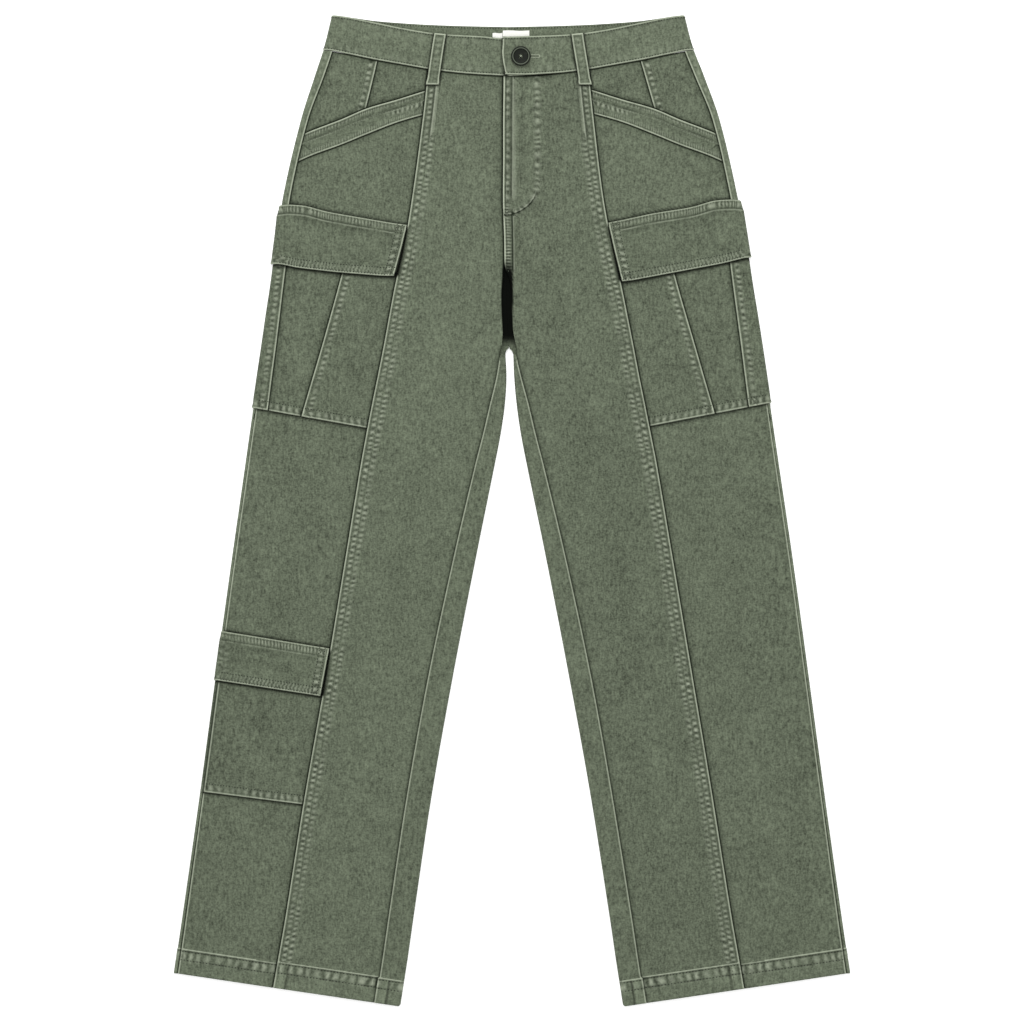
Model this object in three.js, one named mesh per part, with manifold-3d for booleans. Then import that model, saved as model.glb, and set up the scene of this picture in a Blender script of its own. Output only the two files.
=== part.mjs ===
// Cargo trousers laid flat on their back, front side up, in millimetres.
// X runs across the garment with the wearer's left leg at +X, Y runs up to the waist, and Z is up.
// The origin is on the floor under the middle of the whole garment.
import * as THREE from 'three';
import Module from 'manifold-3d';
import { mergeVertices } from 'three/addons/utils/BufferGeometryUtils.js';

// Cloth walls
const TWILL = 1.2;
const DOUBLED = 2.0;
const WAISTBAND_WALL = 2.2;
const HEM_WALL = 2.0;
const HEM_DEPTH = 26;
const SEAM_GAP = 0.3;

// Each side fold is half a round of this outer radius, and the front swells this much over it
const FOLD_RADIUS = 2.6;
const SWELL = 1.0;
const SWELL_REACH = 70;

// Height of each layer's under face over the front panels
const POCKET_LIFT = SEAM_GAP;
const FLAP_LIFT = POCKET_LIFT + TWILL + SEAM_GAP;
const WAISTBAND_PROUD = 0.6;
const OVERLAP_LIFT = WAISTBAND_WALL + 0.5;
const FLY_RAISE = 1.2;

// Fly and waist closing
const FLY_EDGE = -7;
const FLY_WIDTH = 35.5;
const FLY_TOP_OF_CURVE = 345;
const FLY_FOOT = 311;
const FLY_RAMP = 5;
const FLY_FADE = 120;
const UNDERLAP_END = 28;
const OVERLAP_END = 62;
const OVERLAP_FADE = 32;
const BUTTON = {
  x: 9.3, y: 476.2, radius: 10.3, thickness: 3.2, rim: 2.4, dish: 1.2, holeRadius: 1, holeSpread: 2.2,
};

// The fronts turn down into the crotch between these levels. The backs part a little lower, and the
// inseams roll with the other long seams from there, by this share.
const CREVICE_TOP = 262;
const CREVICE_FOOT = 225;
const BACK_SPLIT = 190;
const BACK_ROLL = 22;
const INSEAM_ROLL = 0.42;

// The garment at each level. lean is where its middle line lies, and the rest counts outwards from
// that line. outer is the side fold, side is how far inside it the side seam lies, front is the long
// seam of the front, roll moves the long seams towards +X, inner is the inner fold of the leg, drift
// moves that fold towards +X, and turn is how far past the inner fold the inseam lies, negative where
// it is still round the fold.
const SECTIONS = [
  { y: 520, lean: -4.0, outer: 184.8, side: 10.0, front: 80.0, roll: -0.2, inner: 0.0, drift: -3.0, turn: -3.6 },
  { y: 488, lean: -3.7, outer: 193.0, side: 10.0, front: 82.5, roll: -0.2, inner: 0.0, drift: -3.0, turn: -3.6 },
  { y: 457, lean: -2.7, outer: 204.1, side: 9.9, front: 85.0, roll: -1.2, inner: 0.0, drift: -3.0, turn: -3.6 },
  { y: 410, lean: -1.8, outer: 219.9, side: 8.4, front: 90.0, roll: -2.2, inner: 0.0, drift: -3.0, turn: -3.6 },
  { y: 331, lean: -1.8, outer: 238.4, side: 7.7, front: 100.2, roll: -2.7, inner: 0.0, drift: -3.0, turn: -3.6 },
  { y: 283, lean: -0.8, outer: 245.6, side: 8.0, front: 108.6, roll: -3.3, inner: 2.0, drift: -4.0, turn: -3.6 },
  { y: 236, lean: -0.4, outer: 252.3, side: 7.0, front: 119.1, roll: -3.6, inner: 4.6, drift: -5.1, turn: -3.6 },
  { y: 205, lean: -0.2, outer: 257.2, side: 6.0, front: 125.2, roll: -3.6, inner: 4.7, drift: -5.0, turn: -3.6 },
  { y: 173, lean: 0.0, outer: 262.0, side: 5.0, front: 131.3, roll: -3.6, inner: 4.4, drift: -3.3, turn: 0.3 },
  { y: 141, lean: 0.0, outer: 266.8, side: 3.6, front: 137.5, roll: -3.7, inner: 4.0, drift: -1.8, turn: 6.7 },
  { y: 110, lean: 0.0, outer: 271.3, side: 2.8, front: 143.8, roll: -3.7, inner: 6.3, drift: -1.3, turn: 12.2 },
  { y: 79, lean: 0.0, outer: 275.8, side: 2.8, front: 149.8, roll: -3.6, inner: 10.8, drift: -1.3, turn: 15.0 },
  { y: 47, lean: 0.1, outer: 280.4, side: 2.8, front: 155.8, roll: -3.5, inner: 17.0, drift: -1.4, turn: 17.0 },
  { y: -47, lean: 0.3, outer: 294.0, side: 2.8, front: 171.5, roll: -3.4, inner: 36.2, drift: -1.4, turn: 20.0 },
  { y: -173, lean: 0.2, outer: 311.3, side: 3.0, front: 192.5, roll: -3.2, inner: 60.7, drift: -1.3, turn: 22.8 },
  { y: -299, lean: 0.2, outer: 328.2, side: 3.2, front: 214.1, roll: -3.8, inner: 83.3, drift: -1.1, turn: 23.0 },
  { y: -425, lean: 0.0, outer: 346.0, side: 3.8, front: 234.1, roll: -3.6, inner: 102.6, drift: -0.4, turn: 23.4 },
  { y: -472, lean: 0.0, outer: 352.9, side: 4.0, front: 242.3, roll: -3.6, inner: 109.4, drift: -0.3, turn: 23.6 },
  { y: -520, lean: 0.0, outer: 360.0, side: 4.0, front: 250.6, roll: -3.6, inner: 116.9, drift: -0.3, turn: 23.6 },
];

// Where the closing edge of the fly lies, at each level
const FLY_LINE = [
  { y: 497, h: -6.0 },
  { y: 457, h: -4.9 },
  { y: 378, h: -6.7 },
  { y: 315, h: -8.0 },
  { y: 283, h: -7.6 },
  { y: 225, h: -7.8 },
];

// Levels of the cross lines, by distance h from the middle line
const WAIST_EDGES = [
  { h: 0, frontTop: 496.8, frontFoot: 455.3, backTop: 507.4, backFoot: 470.0 },
  { h: 45, frontTop: 497.4, frontFoot: 458.0, backTop: 508.4, backFoot: 470.4 },
  { h: 80, frontTop: 500.4, frontFoot: 461.9, backTop: 509.6, backFoot: 471.4 },
  { h: 111, frontTop: 506.0, frontFoot: 467.2, backTop: 511.4, backFoot: 473.4 },
  { h: 140, frontTop: 512.0, frontFoot: 472.4, backTop: 513.8, backFoot: 475.8 },
  { h: 170, frontTop: 518.0, frontFoot: 478.7, backTop: 518.0, backFoot: 479.6 },
  { h: 192, frontTop: 520.0, frontFoot: 482.5, backTop: 520.0, backFoot: 482.5 },
  { h: 400, frontTop: 520.0, frontFoot: 482.5, backTop: 520.0, backFoot: 482.5 },
];
const POCKET_MOUTH = [
  { h: 80, top: 443.2, foot: 417.8 },
  { h: 118, top: 431.2, foot: 406.9 },
  { h: 151, top: 421.6, foot: 394.2 },
  { h: 178, top: 410.2, foot: 383.2 },
  { h: 208, top: 398.8, foot: 372.3 },
  { h: 230, top: 389.5, foot: 362.6 },
];
const DART = [
  { y: 490, h: 133.6 },
  { y: 470, h: 138.5 },
  { y: 421, h: 151.5 },
  { y: 390, h: 160.0 },
];

// Straight cross lines of the pockets: the level on the middle line and the rise per millimetre out
const HEM = { level: -537.7, rise: 0.148 };
const CARGO_FOOT = { right: { level: 59.0, rise: 0.177 }, left: { level: 60.0, rise: 0.193 } };
const CARGO_FLAP = {
  right: { top: { level: 279.8, rise: 0.173 }, foot: { level: 232.4, rise: 0.097 } },
  left: { top: { level: 282.8, rise: 0.184 }, foot: { level: 217.2, rise: 0.187 } },
};
const KNEE_FOOT = { level: -336.6, rise: 0.125 };
const KNEE_FLAP = { top: { level: -176.3, rise: 0.162 }, foot: { level: -225.9, rise: 0.152 } };
const MOUTH_DEPTH = 16;
const FLAP_RISE = 0.2;
const FLAP_DRAW_IN = { cargoTop: 0.6, cargoFoot: 3.0, kneeTop: 2.4, kneeFoot: 3.4 };

// Long seams on the cargo pocket, from its flap to its foot
const CARGO_GUSSET = [{ y: 300, h: 228.0 }, { y: 258, h: 233.0 }, { y: 110, h: 252.0 }, { y: 80, h: 256.0 }];
const CARGO_PLEAT = [{ y: 300, h: 161.5 }, { y: 247, h: 175.0 }, { y: 183, h: 193.0 }, { y: 80, h: 223.0 }];

// How far round the side fold the pockets and flaps reach, as an angle from its top
const CARGO_WRAP = 1.78;
const KNEE_WRAP = 0.6;
const WRAP_STEPS = 4;

const LOOP = { topH: 72.4, footH: 80.4, width: 12.8, footLevel: 446.4, wall: 1.5, bow: 0.8, step: 8 };
const LABELS = [
  { name: 'label_main', from: -9.6, to: 18.2, top: 503.6, foot: 474 },
  { name: 'label_tab', from: -20.4, to: -10.0, top: 501.0, foot: 478 },
];
const LABEL_WALL = 1.0;

// The largest soft folds of the front: middle, direction, half-length, half-width and height
const FOLDS = [
  { x: 24, y: 268, angle: -1.12, length: 48, width: 13, height: -0.55 },
  { x: 44, y: 236, angle: -0.95, length: 60, width: 16, height: 0.4 },
  { x: -28, y: 262, angle: -1.95, length: 46, width: 15, height: -0.4 },
  { x: 196, y: 344, angle: 0.42, length: 40, width: 11, height: -0.45 },
  { x: 204, y: 428, angle: -0.6, length: 34, width: 12, height: 0.35 },
  { x: -212, y: 332, angle: -0.5, length: 34, width: 12, height: -0.35 },
];

// Levels where the long panels have a row of points
const LONG_ROWS = [
  457, 438, 420, 402, 383, 360, 332, 304, 280, 262, 244, 225, 210, 196, 181, 175.5, 170, 164.5, 159,
  150, 136, 112, 84, 47, -8, -80, -160, -250, -340, -420, -490, -520,
];
// Shares of the way from the side fold to the middle where the underside has a column of points
const UNDER_COLUMNS = [0.14, 0.3, 0.5, 0.75];

const { PI, abs, cos, exp, max, min, sin, sqrt } = Math;
const lerp = (a, b, t) => a + (b - a) * t;
const ease = (t) => {
  const c = min(1, max(0, t));
  return c * c * (3 - 2 * c);
};

// A smooth curve through one column of a table whose rows run up or down in the key column
function tableCurve(rows, key, column) {
  const up = [...rows].sort((a, b) => a[key] - b[key]);
  const slopes = up.map((row, i) => {
    const before = up[max(0, i - 1)];
    const after = up[min(up.length - 1, i + 1)];
    return (after[column] - before[column]) / (after[key] - before[key]);
  });
  return (at) => {
    let i = 0;
    while (i < up.length - 2 && at > up[i + 1][key]) i += 1;
    const span = up[i + 1][key] - up[i][key];
    const t = min(1, max(0, (at - up[i][key]) / span));
    const rest = 1 - t;
    return (
      up[i][column] * (1 + 2 * t) * rest * rest +
      up[i + 1][column] * t * t * (3 - 2 * t) +
      span * (slopes[i] * t * rest * rest - slopes[i + 1] * t * t * rest)
    );
  };
}

const outerFold = tableCurve(SECTIONS, 'y', 'outer');
const sideInset = tableCurve(SECTIONS, 'y', 'side');
const middleLine = tableCurve(SECTIONS, 'y', 'lean');
const frontHalf = tableCurve(SECTIONS, 'y', 'front');
const seamRoll = tableCurve(SECTIONS, 'y', 'roll');
const innerHalf = tableCurve(SECTIONS, 'y', 'inner');
const innerDrift = tableCurve(SECTIONS, 'y', 'drift');
const inseamHalf = tableCurve(SECTIONS, 'y', 'turn');
const flyLine = tableCurve(FLY_LINE, 'y', 'h');
const waistFrontTop = tableCurve(WAIST_EDGES, 'h', 'frontTop');
const waistFrontFoot = tableCurve(WAIST_EDGES, 'h', 'frontFoot');
const waistBackTop = tableCurve(WAIST_EDGES, 'h', 'backTop');
const waistBackFoot = tableCurve(WAIST_EDGES, 'h', 'backFoot');
const mouthTop = tableCurve(POCKET_MOUTH, 'h', 'top');
const mouthFoot = tableCurve(POCKET_MOUTH, 'h', 'foot');
const dartSeam = tableCurve(DART, 'y', 'h');
const gussetHalf = tableCurve(CARGO_GUSSET, 'y', 'h');
const pleatHalf = tableCurve(CARGO_PLEAT, 'y', 'h');
const line = ({ level, rise }) => (h) => level + rise * h;
const hemLine = line(HEM);
const sideSeam = (y) => outerFold(y) - sideInset(y);
const foldStart = (y) => outerFold(y) - FOLD_RADIUS;

// Side 1 is the wearer's left leg at +X, and side -1 the right leg; h counts outwards on both
const SIDES = { right: -1, left: 1 };
const across = (side, h, y) => middleLine(y) + side * h;
const innerTip = (side, y) => innerHalf(y) + side * innerDrift(y);
const centreBack = (side, y) => side * innerDrift(y) + SEAM_GAP / 2;
const rolled = (side, half) => (y) => half(y) + side * seamRoll(y);
const frontSeam = { right: rolled(SIDES.right, frontHalf), left: rolled(SIDES.left, frontHalf) };
const pleatSeam = { right: rolled(SIDES.right, pleatHalf), left: rolled(SIDES.left, pleatHalf) };
const gussetSeam = { right: rolled(SIDES.right, gussetHalf), left: rolled(SIDES.left, gussetHalf) };
const inseamTurn = (side, y) => {
  const below = ease((BACK_SPLIT - y) / BACK_ROLL);
  return inseamHalf(y) + side * INSEAM_ROLL * seamRoll(y) * below;
};

// How far the inner edge of a front panel has turned down round the leg's inner fold
const innerTurned = (y) => ease((CREVICE_TOP - y) / (CREVICE_TOP - CREVICE_FOOT));

// Soft folds laid over the front, in height
function foldsAt(x, y) {
  return FOLDS.reduce((sum, fold) => {
    const along = (x - fold.x) * cos(fold.angle) + (y - fold.y) * sin(fold.angle);
    const across = (y - fold.y) * cos(fold.angle) - (x - fold.x) * sin(fold.angle);
    return sum + fold.height * exp(-((along / fold.length) ** 2) - (across / fold.width) ** 2);
  }, 0);
}

// Height of the front's outer face at half-width h
function frontHeight(side, h, y) {
  const fromOuter = foldStart(y) - h;
  const fromInner = y > CREVICE_TOP ? SWELL_REACH : h - innerTip(side, y) - FOLD_RADIUS;
  const reach = ease(fromOuter / SWELL_REACH) * ease(max(0, fromInner) / SWELL_REACH);
  const open = lerp(ease(fromOuter / SWELL_REACH), reach, innerTurned(y));
  return 2 * FOLD_RADIUS + SWELL * open + foldsAt(across(side, h, y), y) * open;
}

// A point of the garment's skin, raised by lift along the skin's own direction.
// h runs from the middle line over the front, and past the fold it counts round it and on underneath.
function skin(side, h, y, lift) {
  const start = foldStart(y);
  const halfRound = PI * FOLD_RADIUS;
  if (h > start + halfRound) {
    return new THREE.Vector3(across(side, 2 * start + halfRound - h, y), y, -lift);
  }
  if (h > start) {
    const angle = (h - start) / FOLD_RADIUS;
    const radius = FOLD_RADIUS + lift;
    const x = across(side, start + radius * sin(angle), y);
    return new THREE.Vector3(x, y, FOLD_RADIUS + radius * cos(angle));
  }
  const innerStart = innerTip(side, y) + FOLD_RADIUS;
  const turned = innerTurned(y);
  if (turned > 0 && h < innerStart) {
    const bend = FOLD_RADIUS / turned;
    const angle = (innerStart - h) / bend;
    const x = across(side, innerStart - (bend + lift) * sin(angle), y);
    const top = frontHeight(side, innerStart, y);
    return new THREE.Vector3(x, y, top - bend + (bend + lift) * cos(angle));
  }
  return new THREE.Vector3(across(side, h, y), y, frontHeight(side, h, y) + lift);
}

// A closed wall of cloth over a grid: place(u, v, depth) gives its points, depth 0 outside and 1 inside
function clothWall(us, vs, place) {
  const columns = us.length;
  const rows = vs.length;
  const points = [];
  for (const depth of [0, 1]) {
    for (const v of vs) {
      for (const u of us) points.push(place(u, v, depth));
    }
  }
  const inside = columns * rows;
  const faces = [];
  const quad = (a, b, c, d) => faces.push(a, b, c, a, c, d);
  for (let j = 0; j < rows - 1; j += 1) {
    for (let i = 0; i < columns - 1; i += 1) {
      const a = j * columns + i;
      quad(a, a + columns, a + columns + 1, a + 1);
      quad(inside + a, inside + a + 1, inside + a + columns + 1, inside + a + columns);
    }
  }
  const rim = [];
  for (let i = 0; i < columns - 1; i += 1) rim.push(i);
  for (let j = 0; j < rows - 1; j += 1) rim.push(j * columns + columns - 1);
  for (let i = columns - 1; i > 0; i -= 1) rim.push((rows - 1) * columns + i);
  for (let j = rows - 1; j > 0; j -= 1) rim.push(j * columns);
  rim.forEach((a, k) => {
    const b = rim[(k + 1) % rim.length];
    quad(a, b, inside + b, inside + a);
  });
  return facingOut(points, faces);
}

// A geometry from points and faces, turned round if its faces point inwards
function facingOut(points, faces) {
  let volume = 0;
  for (let i = 0; i < faces.length; i += 3) {
    const [a, b, c] = [points[faces[i]], points[faces[i + 1]], points[faces[i + 2]]];
    volume += a.dot(b.clone().cross(c));
  }
  const order = volume < 0 ? faces.slice().reverse() : faces;
  const geometry = new THREE.BufferGeometry().setFromPoints(points).setIndex(order);
  geometry.computeVertexNormals();
  return geometry;
}

// Rounds in which a place on a panel's plan is worked out from its crossing edges
const PLAN_ROUNDS = 14;

const steps = (count) => Array.from({ length: count + 1 }, (_, i) => i / count);

// A place in the plan of a panel: left and right edges are curves of the level y, and top and foot
// edges are curves of the half-width h, so neighbours share their seam exactly. A u past 1 goes on
// round the side fold, by u - 1 radians.
function planPoint({ left, right, top, foot, columnAt }, u, v) {
  const column = columnAt ?? ((y) => lerp(left(y), right(y), min(u, 1)) + max(0, u - 1) * FOLD_RADIUS);
  let h = left(0);
  let y = 0;
  for (let i = 0; i < PLAN_ROUNDS; i += 1) {
    y = lerp(top(h), foot(h), v);
    h = column(y, u);
  }
  return { h, y };
}

// The same edges drawn in by half a seam gap all round
function inset({ left, right, top, foot }) {
  const half = SEAM_GAP / 2;
  return {
    left: (y) => left(y) + half,
    right: (y) => right(y) - half,
    top: (h) => top(h) - half,
    foot: (h) => foot(h) + half,
  };
}

// A piece of cloth that lies on the skin between four edges, its under face raised by lift
function laidPiece(side, edges, us, vs, wall, lift) {
  return clothWall(us, vs, (u, v, depth) => {
    const { h, y } = planPoint(edges, u, v);
    const raised = lift(u, v, h, y);
    return skin(side, h, y, raised + (1 - depth) * wall(h, y));
  });
}

// Wall of a leg panel: one layer, and doubled where the hem is turned up inside
const legWall = (h, y) => lerp(HEM_WALL, TWILL, ease((y - hemLine(h)) / HEM_DEPTH - 0.5));

const MATERIALS = {
  twill: { color: 0x667059, roughness: 0.93, metalness: 0 },
  twillInside: { color: 0x596350, roughness: 0.95, metalness: 0 },
  button: { color: 0x262c24, roughness: 0.42, metalness: 0 },
  label: { color: 0xeeeee8, roughness: 0.8, metalness: 0 },
};

const trousers = new THREE.Group();

function addPiece(name, geometry, material) {
  const mesh = new THREE.Mesh(geometry, new THREE.MeshStandardMaterial(MATERIALS[material]));
  mesh.name = name;
  trousers.add(mesh);
  return mesh;
}

// The fly's raised outline: straight down from the waist, then a quarter curve in to the seam
function flyReach(y) {
  if (y >= FLY_TOP_OF_CURVE) return FLY_EDGE + FLY_WIDTH;
  const share = min(1, (FLY_TOP_OF_CURVE - y) / (FLY_TOP_OF_CURVE - FLY_FOOT));
  return FLY_EDGE + FLY_WIDTH * sqrt(1 - share * share);
}

function flyRaise(x, y) {
  const across = ease((flyReach(y) + FLY_RAMP - x) / FLY_RAMP);
  return FLY_RAISE * across * ease((y - FLY_FOOT) / FLY_RAMP);
}

// Inner edge of a front leg panel: the fly line, then down round the inner fold, then the inseam
function frontInnerEdge(side) {
  return (y) => {
    const overFly = side > 0 ? flyLine(y) : -flyLine(y) + SEAM_GAP;
    const atSeam = innerTip(side, y) + FOLD_RADIUS + inseamTurn(side, y);
    return lerp(overFly, atSeam, innerTurned(y));
  };
}

// Columns of a front leg panel: two of them keep to the fly's curved edge and fade out below it
function frontColumn(side, left, right) {
  return (y, u) => {
    const below = ease((FLY_FOOT - y) / FLY_FADE);
    const edge = lerp(FLY_EDGE + FLY_WIDTH, lerp(left(y), right(y), 0.35), below);
    const ramp = lerp(FLY_RAMP, 0.1 * (right(y) - left(y)), below);
    if (u <= 0.4) return lerp(left(y), edge, u / 0.4);
    if (u <= 0.5) return lerp(edge, edge + ramp, (u - 0.4) / 0.1);
    return lerp(edge + ramp, right(y), (u - 0.5) / 0.5);
  };
}

function addFrontPanel(sideName) {
  const side = SIDES[sideName];
  const edges = inset({
    left: frontInnerEdge(side),
    right: frontSeam[sideName],
    top: waistFrontFoot,
    foot: hemLine,
  });
  edges.columnAt = frontColumn(side, edges.left, edges.right);
  const wall = (h, y) => legWall(h, y) + (side > 0 ? flyRaise(h, y) : 0);
  const lift = (u, v, h, y) => -legWall(h, y);
  const vs = LONG_ROWS.map((y) => (LONG_ROWS[0] - y) / (LONG_ROWS[0] - LONG_ROWS.at(-1)));
  const us = [0, 0.05, 0.12, 0.25, 0.4, 0.5, 0.66, 0.83, 1];
  addPiece(`front_panel_${sideName}`, laidPiece(side, edges, us, vs, wall, lift), 'twill');
}

function addSidePanel(sideName) {
  const side = SIDES[sideName];
  const edges = inset({ left: frontSeam[sideName], right: sideSeam, top: mouthFoot, foot: hemLine });
  const lift = (u, v, h, y) => -legWall(h, y);
  const shape = laidPiece(side, edges, steps(6), steps(24), legWall, lift);
  addPiece(`side_panel_${sideName}`, shape, 'twill');
}

// The hip above the slanted pocket, in two pieces that meet at the dart seam
function addHipYoke(sideName) {
  const side = SIDES[sideName];
  const parts = [
    { name: 'yoke_inner', left: frontSeam[sideName], right: dartSeam },
    { name: 'yoke_outer', left: dartSeam, right: sideSeam },
  ];
  for (const { name, left, right } of parts) {
    const edges = inset({ left, right, top: waistFrontFoot, foot: mouthTop });
    const shape = laidPiece(side, edges, steps(5), steps(7), () => TWILL, () => -TWILL);
    addPiece(`${name}_${sideName}`, shape, 'twill');
  }
}

// The wide facing that edges the slanted front pocket
function addPocketBand(sideName) {
  const side = SIDES[sideName];
  const edges = inset({ left: frontSeam[sideName], right: sideSeam, top: mouthTop, foot: mouthFoot });
  const shape = laidPiece(side, edges, steps(10), steps(2), () => DOUBLED, () => -TWILL);
  addPiece(`pocket_band_${sideName}`, shape, 'twill');
}

// The back leg panel: from the side seam round the side fold, flat underneath, and up round the
// inner fold to the inseam. Above the crotch its inner part lies flat, out to the centre back seam.
function addBackPanel(sideName) {
  const side = SIDES[sideName];
  const halfGap = SEAM_GAP / 2;
  const halfRound = PI * FOLD_RADIUS;
  const columns = [];
  for (const f of [0, 0.5]) columns.push({ zone: 'sideStrip', f });
  for (const f of steps(5)) columns.push({ zone: 'sideFold', f });
  for (const f of UNDER_COLUMNS) columns.push({ zone: 'under', f });
  for (const f of steps(5)) columns.push({ zone: 'innerFold', f });
  for (const f of [0.5, 1]) columns.push({ zone: 'innerStrip', f });

  // The inner part unrolls from the inner fold to flat cloth over this stretch above the crotch
  const curled = (y) => ease((BACK_SPLIT - y) / BACK_ROLL);
  const innerLength = (y) => {
    const flat = innerTip(side, y) + FOLD_RADIUS - centreBack(side, y);
    return lerp(flat, halfRound + inseamTurn(side, y) - SEAM_GAP, curled(y));
  };

  function innerPoint(along, y, lift) {
    const start = innerTip(side, y) + FOLD_RADIUS;
    const curl = curled(y);
    if (curl < 1e-3) return new THREE.Vector3(across(side, start - along, y), y, -lift);
    if (along > halfRound) {
      const h = start + along - halfRound;
      return new THREE.Vector3(across(side, h, y), y, frontHeight(side, h, y) + lift);
    }
    const bend = FOLD_RADIUS / curl;
    const angle = along / bend;
    const x = across(side, start - (bend + lift) * sin(angle), y);
    return new THREE.Vector3(x, y, bend - (bend + lift) * cos(angle));
  }

  const shareOver = (zone, f) => {
    if (zone === 'under') return f;
    return zone === 'sideStrip' || zone === 'sideFold' ? 0 : 1;
  };

  const shape = clothWall(columns, LONG_ROWS, ({ zone, f }, level, depth) => {
    const share = (LONG_ROWS[0] - level) / (LONG_ROWS[0] - LONG_ROWS.at(-1));
    const top = zone === 'sideStrip' ? waistFrontFoot : waistBackFoot;
    let y = level;
    let h = 0;
    for (let i = 0; i < PLAN_ROUNDS; i += 1) {
      h = lerp(foldStart(y), innerTip(side, y) + FOLD_RADIUS, shareOver(zone, f));
      if (zone === 'sideStrip') h = lerp(sideSeam(y) + halfGap, foldStart(y), f);
      y = lerp(top(h) - halfGap, hemLine(h), share);
    }
    const start = foldStart(y);
    const lift = -depth * legWall(h, y);
    if (zone === 'sideStrip') return skin(side, h, y, lift);
    if (zone === 'sideFold') return skin(side, start + f * halfRound, y, lift);
    const innerStart = innerTip(side, y) + FOLD_RADIUS;
    if (zone === 'under') return new THREE.Vector3(across(side, lerp(start, innerStart, f), y), y, -lift);
    const length = innerLength(y);
    const split = min(halfRound, 0.75 * length);
    const along = zone === 'innerFold' ? f * split : lerp(split, length, f);
    return innerPoint(along, y, lift);
  });
  addPiece(`back_panel_${sideName}`, shape, 'twillInside');
}

// Half of the waistband: over the front from the closing, round the side fold, and under to the
// centre back seam. The left half laps over the right one.
function addWaistband(sideName) {
  const side = SIDES[sideName];
  const halfRound = PI * FOLD_RADIUS;
  const closingEnd = side > 0 ? flyLine(FLY_LINE[0].y) : -UNDERLAP_END;
  const columns = [];
  for (const f of steps(15)) columns.push({ zone: 'front', f });
  for (const f of steps(6).slice(1)) columns.push({ zone: 'fold', f });
  for (const f of [...UNDER_COLUMNS, 1]) columns.push({ zone: 'under', f });
  columns.push({ zone: 'centreBack', f: 1 });
  const overlap = (h) => (side > 0 ? OVERLAP_LIFT * ease((OVERLAP_END - h) / OVERLAP_FADE) : 0);
  const shape = clothWall(columns, steps(4), ({ zone, f }, v, depth) => {
    const inwards = -depth * WAISTBAND_WALL;
    if (zone === 'front') {
      let h = closingEnd;
      let y = 0;
      for (let i = 0; i < PLAN_ROUNDS; i += 1) {
        y = lerp(waistFrontTop(abs(h)), waistFrontFoot(abs(h)) + SEAM_GAP, v);
        h = lerp(closingEnd, foldStart(y), f);
      }
      return skin(side, h, y, WAISTBAND_PROUD + overlap(h) + inwards);
    }
    if (zone === 'fold') {
      const y = lerp(waistFrontTop(192), waistFrontFoot(192) + SEAM_GAP, v);
      return skin(side, foldStart(y) + f * halfRound, y, WAISTBAND_PROUD * (1 - f) + inwards);
    }
    let h = 0;
    let y = 0;
    for (let i = 0; i < PLAN_ROUNDS; i += 1) {
      y = lerp(waistBackTop(h), waistBackFoot(h) + SEAM_GAP, v);
      h = zone === 'under' ? lerp(foldStart(y), innerTip(side, y) + FOLD_RADIUS, f) : centreBack(side, y);
    }
    return new THREE.Vector3(across(side, h, y), y, -inwards);
  });
  addPiece(`waistband_${sideName}`, shape, 'twill');
}

function addBeltLoop(sideName) {
  const side = SIDES[sideName];
  const vs = steps(9);
  const bandFoot = waistFrontFoot(LOOP.footH);
  const shape = clothWall([-0.5, 0, 0.5], vs, (u, v, depth) => {
    const middle = lerp(LOOP.topH, LOOP.footH, v);
    const h = middle + u * LOOP.width;
    const top = waistFrontTop(h);
    const y = lerp(top, LOOP.footLevel, v);
    const onBand = WAISTBAND_PROUD + SEAM_GAP + LOOP.bow * sin(PI * v);
    const lift = lerp(SEAM_GAP, onBand, ease((y - bandFoot) / LOOP.step + 1.1));
    return skin(side, h, y, lift + (1 - depth) * LOOP.wall);
  });
  addPiece(`belt_loop_${sideName}`, shape, 'twill');
}

// A pocket body or part of one between two long seams, from under its flap down to its foot
function pocketPiece(side, left, right, flapTop, foot, columns, rows) {
  const edges = {
    left: (y) => left(y) + SEAM_GAP / 2,
    right: right === foldStart ? right : (y) => right(y) - SEAM_GAP / 2,
    top: (h) => line(flapTop)(h) - MOUTH_DEPTH,
    foot: line(foot),
  };
  return laidPiece(side, edges, columns, steps(rows), () => TWILL, () => POCKET_LIFT);
}

// Columns of a piece that wraps round the side fold: even ones to the fold, then round its arc
const wrapColumns = (count, wrap) => {
  const round = steps(WRAP_STEPS).slice(1);
  return [...steps(count), ...round.map((f) => 1 + f * wrap)];
};

function addFlap(name, sideName, top, foot, drawIn, wrap) {
  const seam = frontSeam[sideName];
  const topLine = line(top);
  const footLine = line(foot);
  const edges = {
    left: (y) => {
      const middle = seam(y) + drawIn.top;
      const drop = (topLine(middle) - y) / (topLine(middle) - footLine(middle));
      return seam(y) + lerp(drawIn.top, drawIn.foot, drop);
    },
    right: foldStart,
    top: topLine,
    foot: footLine,
  };
  const lift = (u, v) => lerp(SEAM_GAP, FLAP_LIFT, ease(v / FLAP_RISE));
  const vs = [0, FLAP_RISE / 2, FLAP_RISE, 0.45, 0.72, 1];
  const shape = laidPiece(SIDES[sideName], edges, wrapColumns(6, wrap), vs, () => DOUBLED, lift);
  addPiece(name, shape, 'twill');
}

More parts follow.
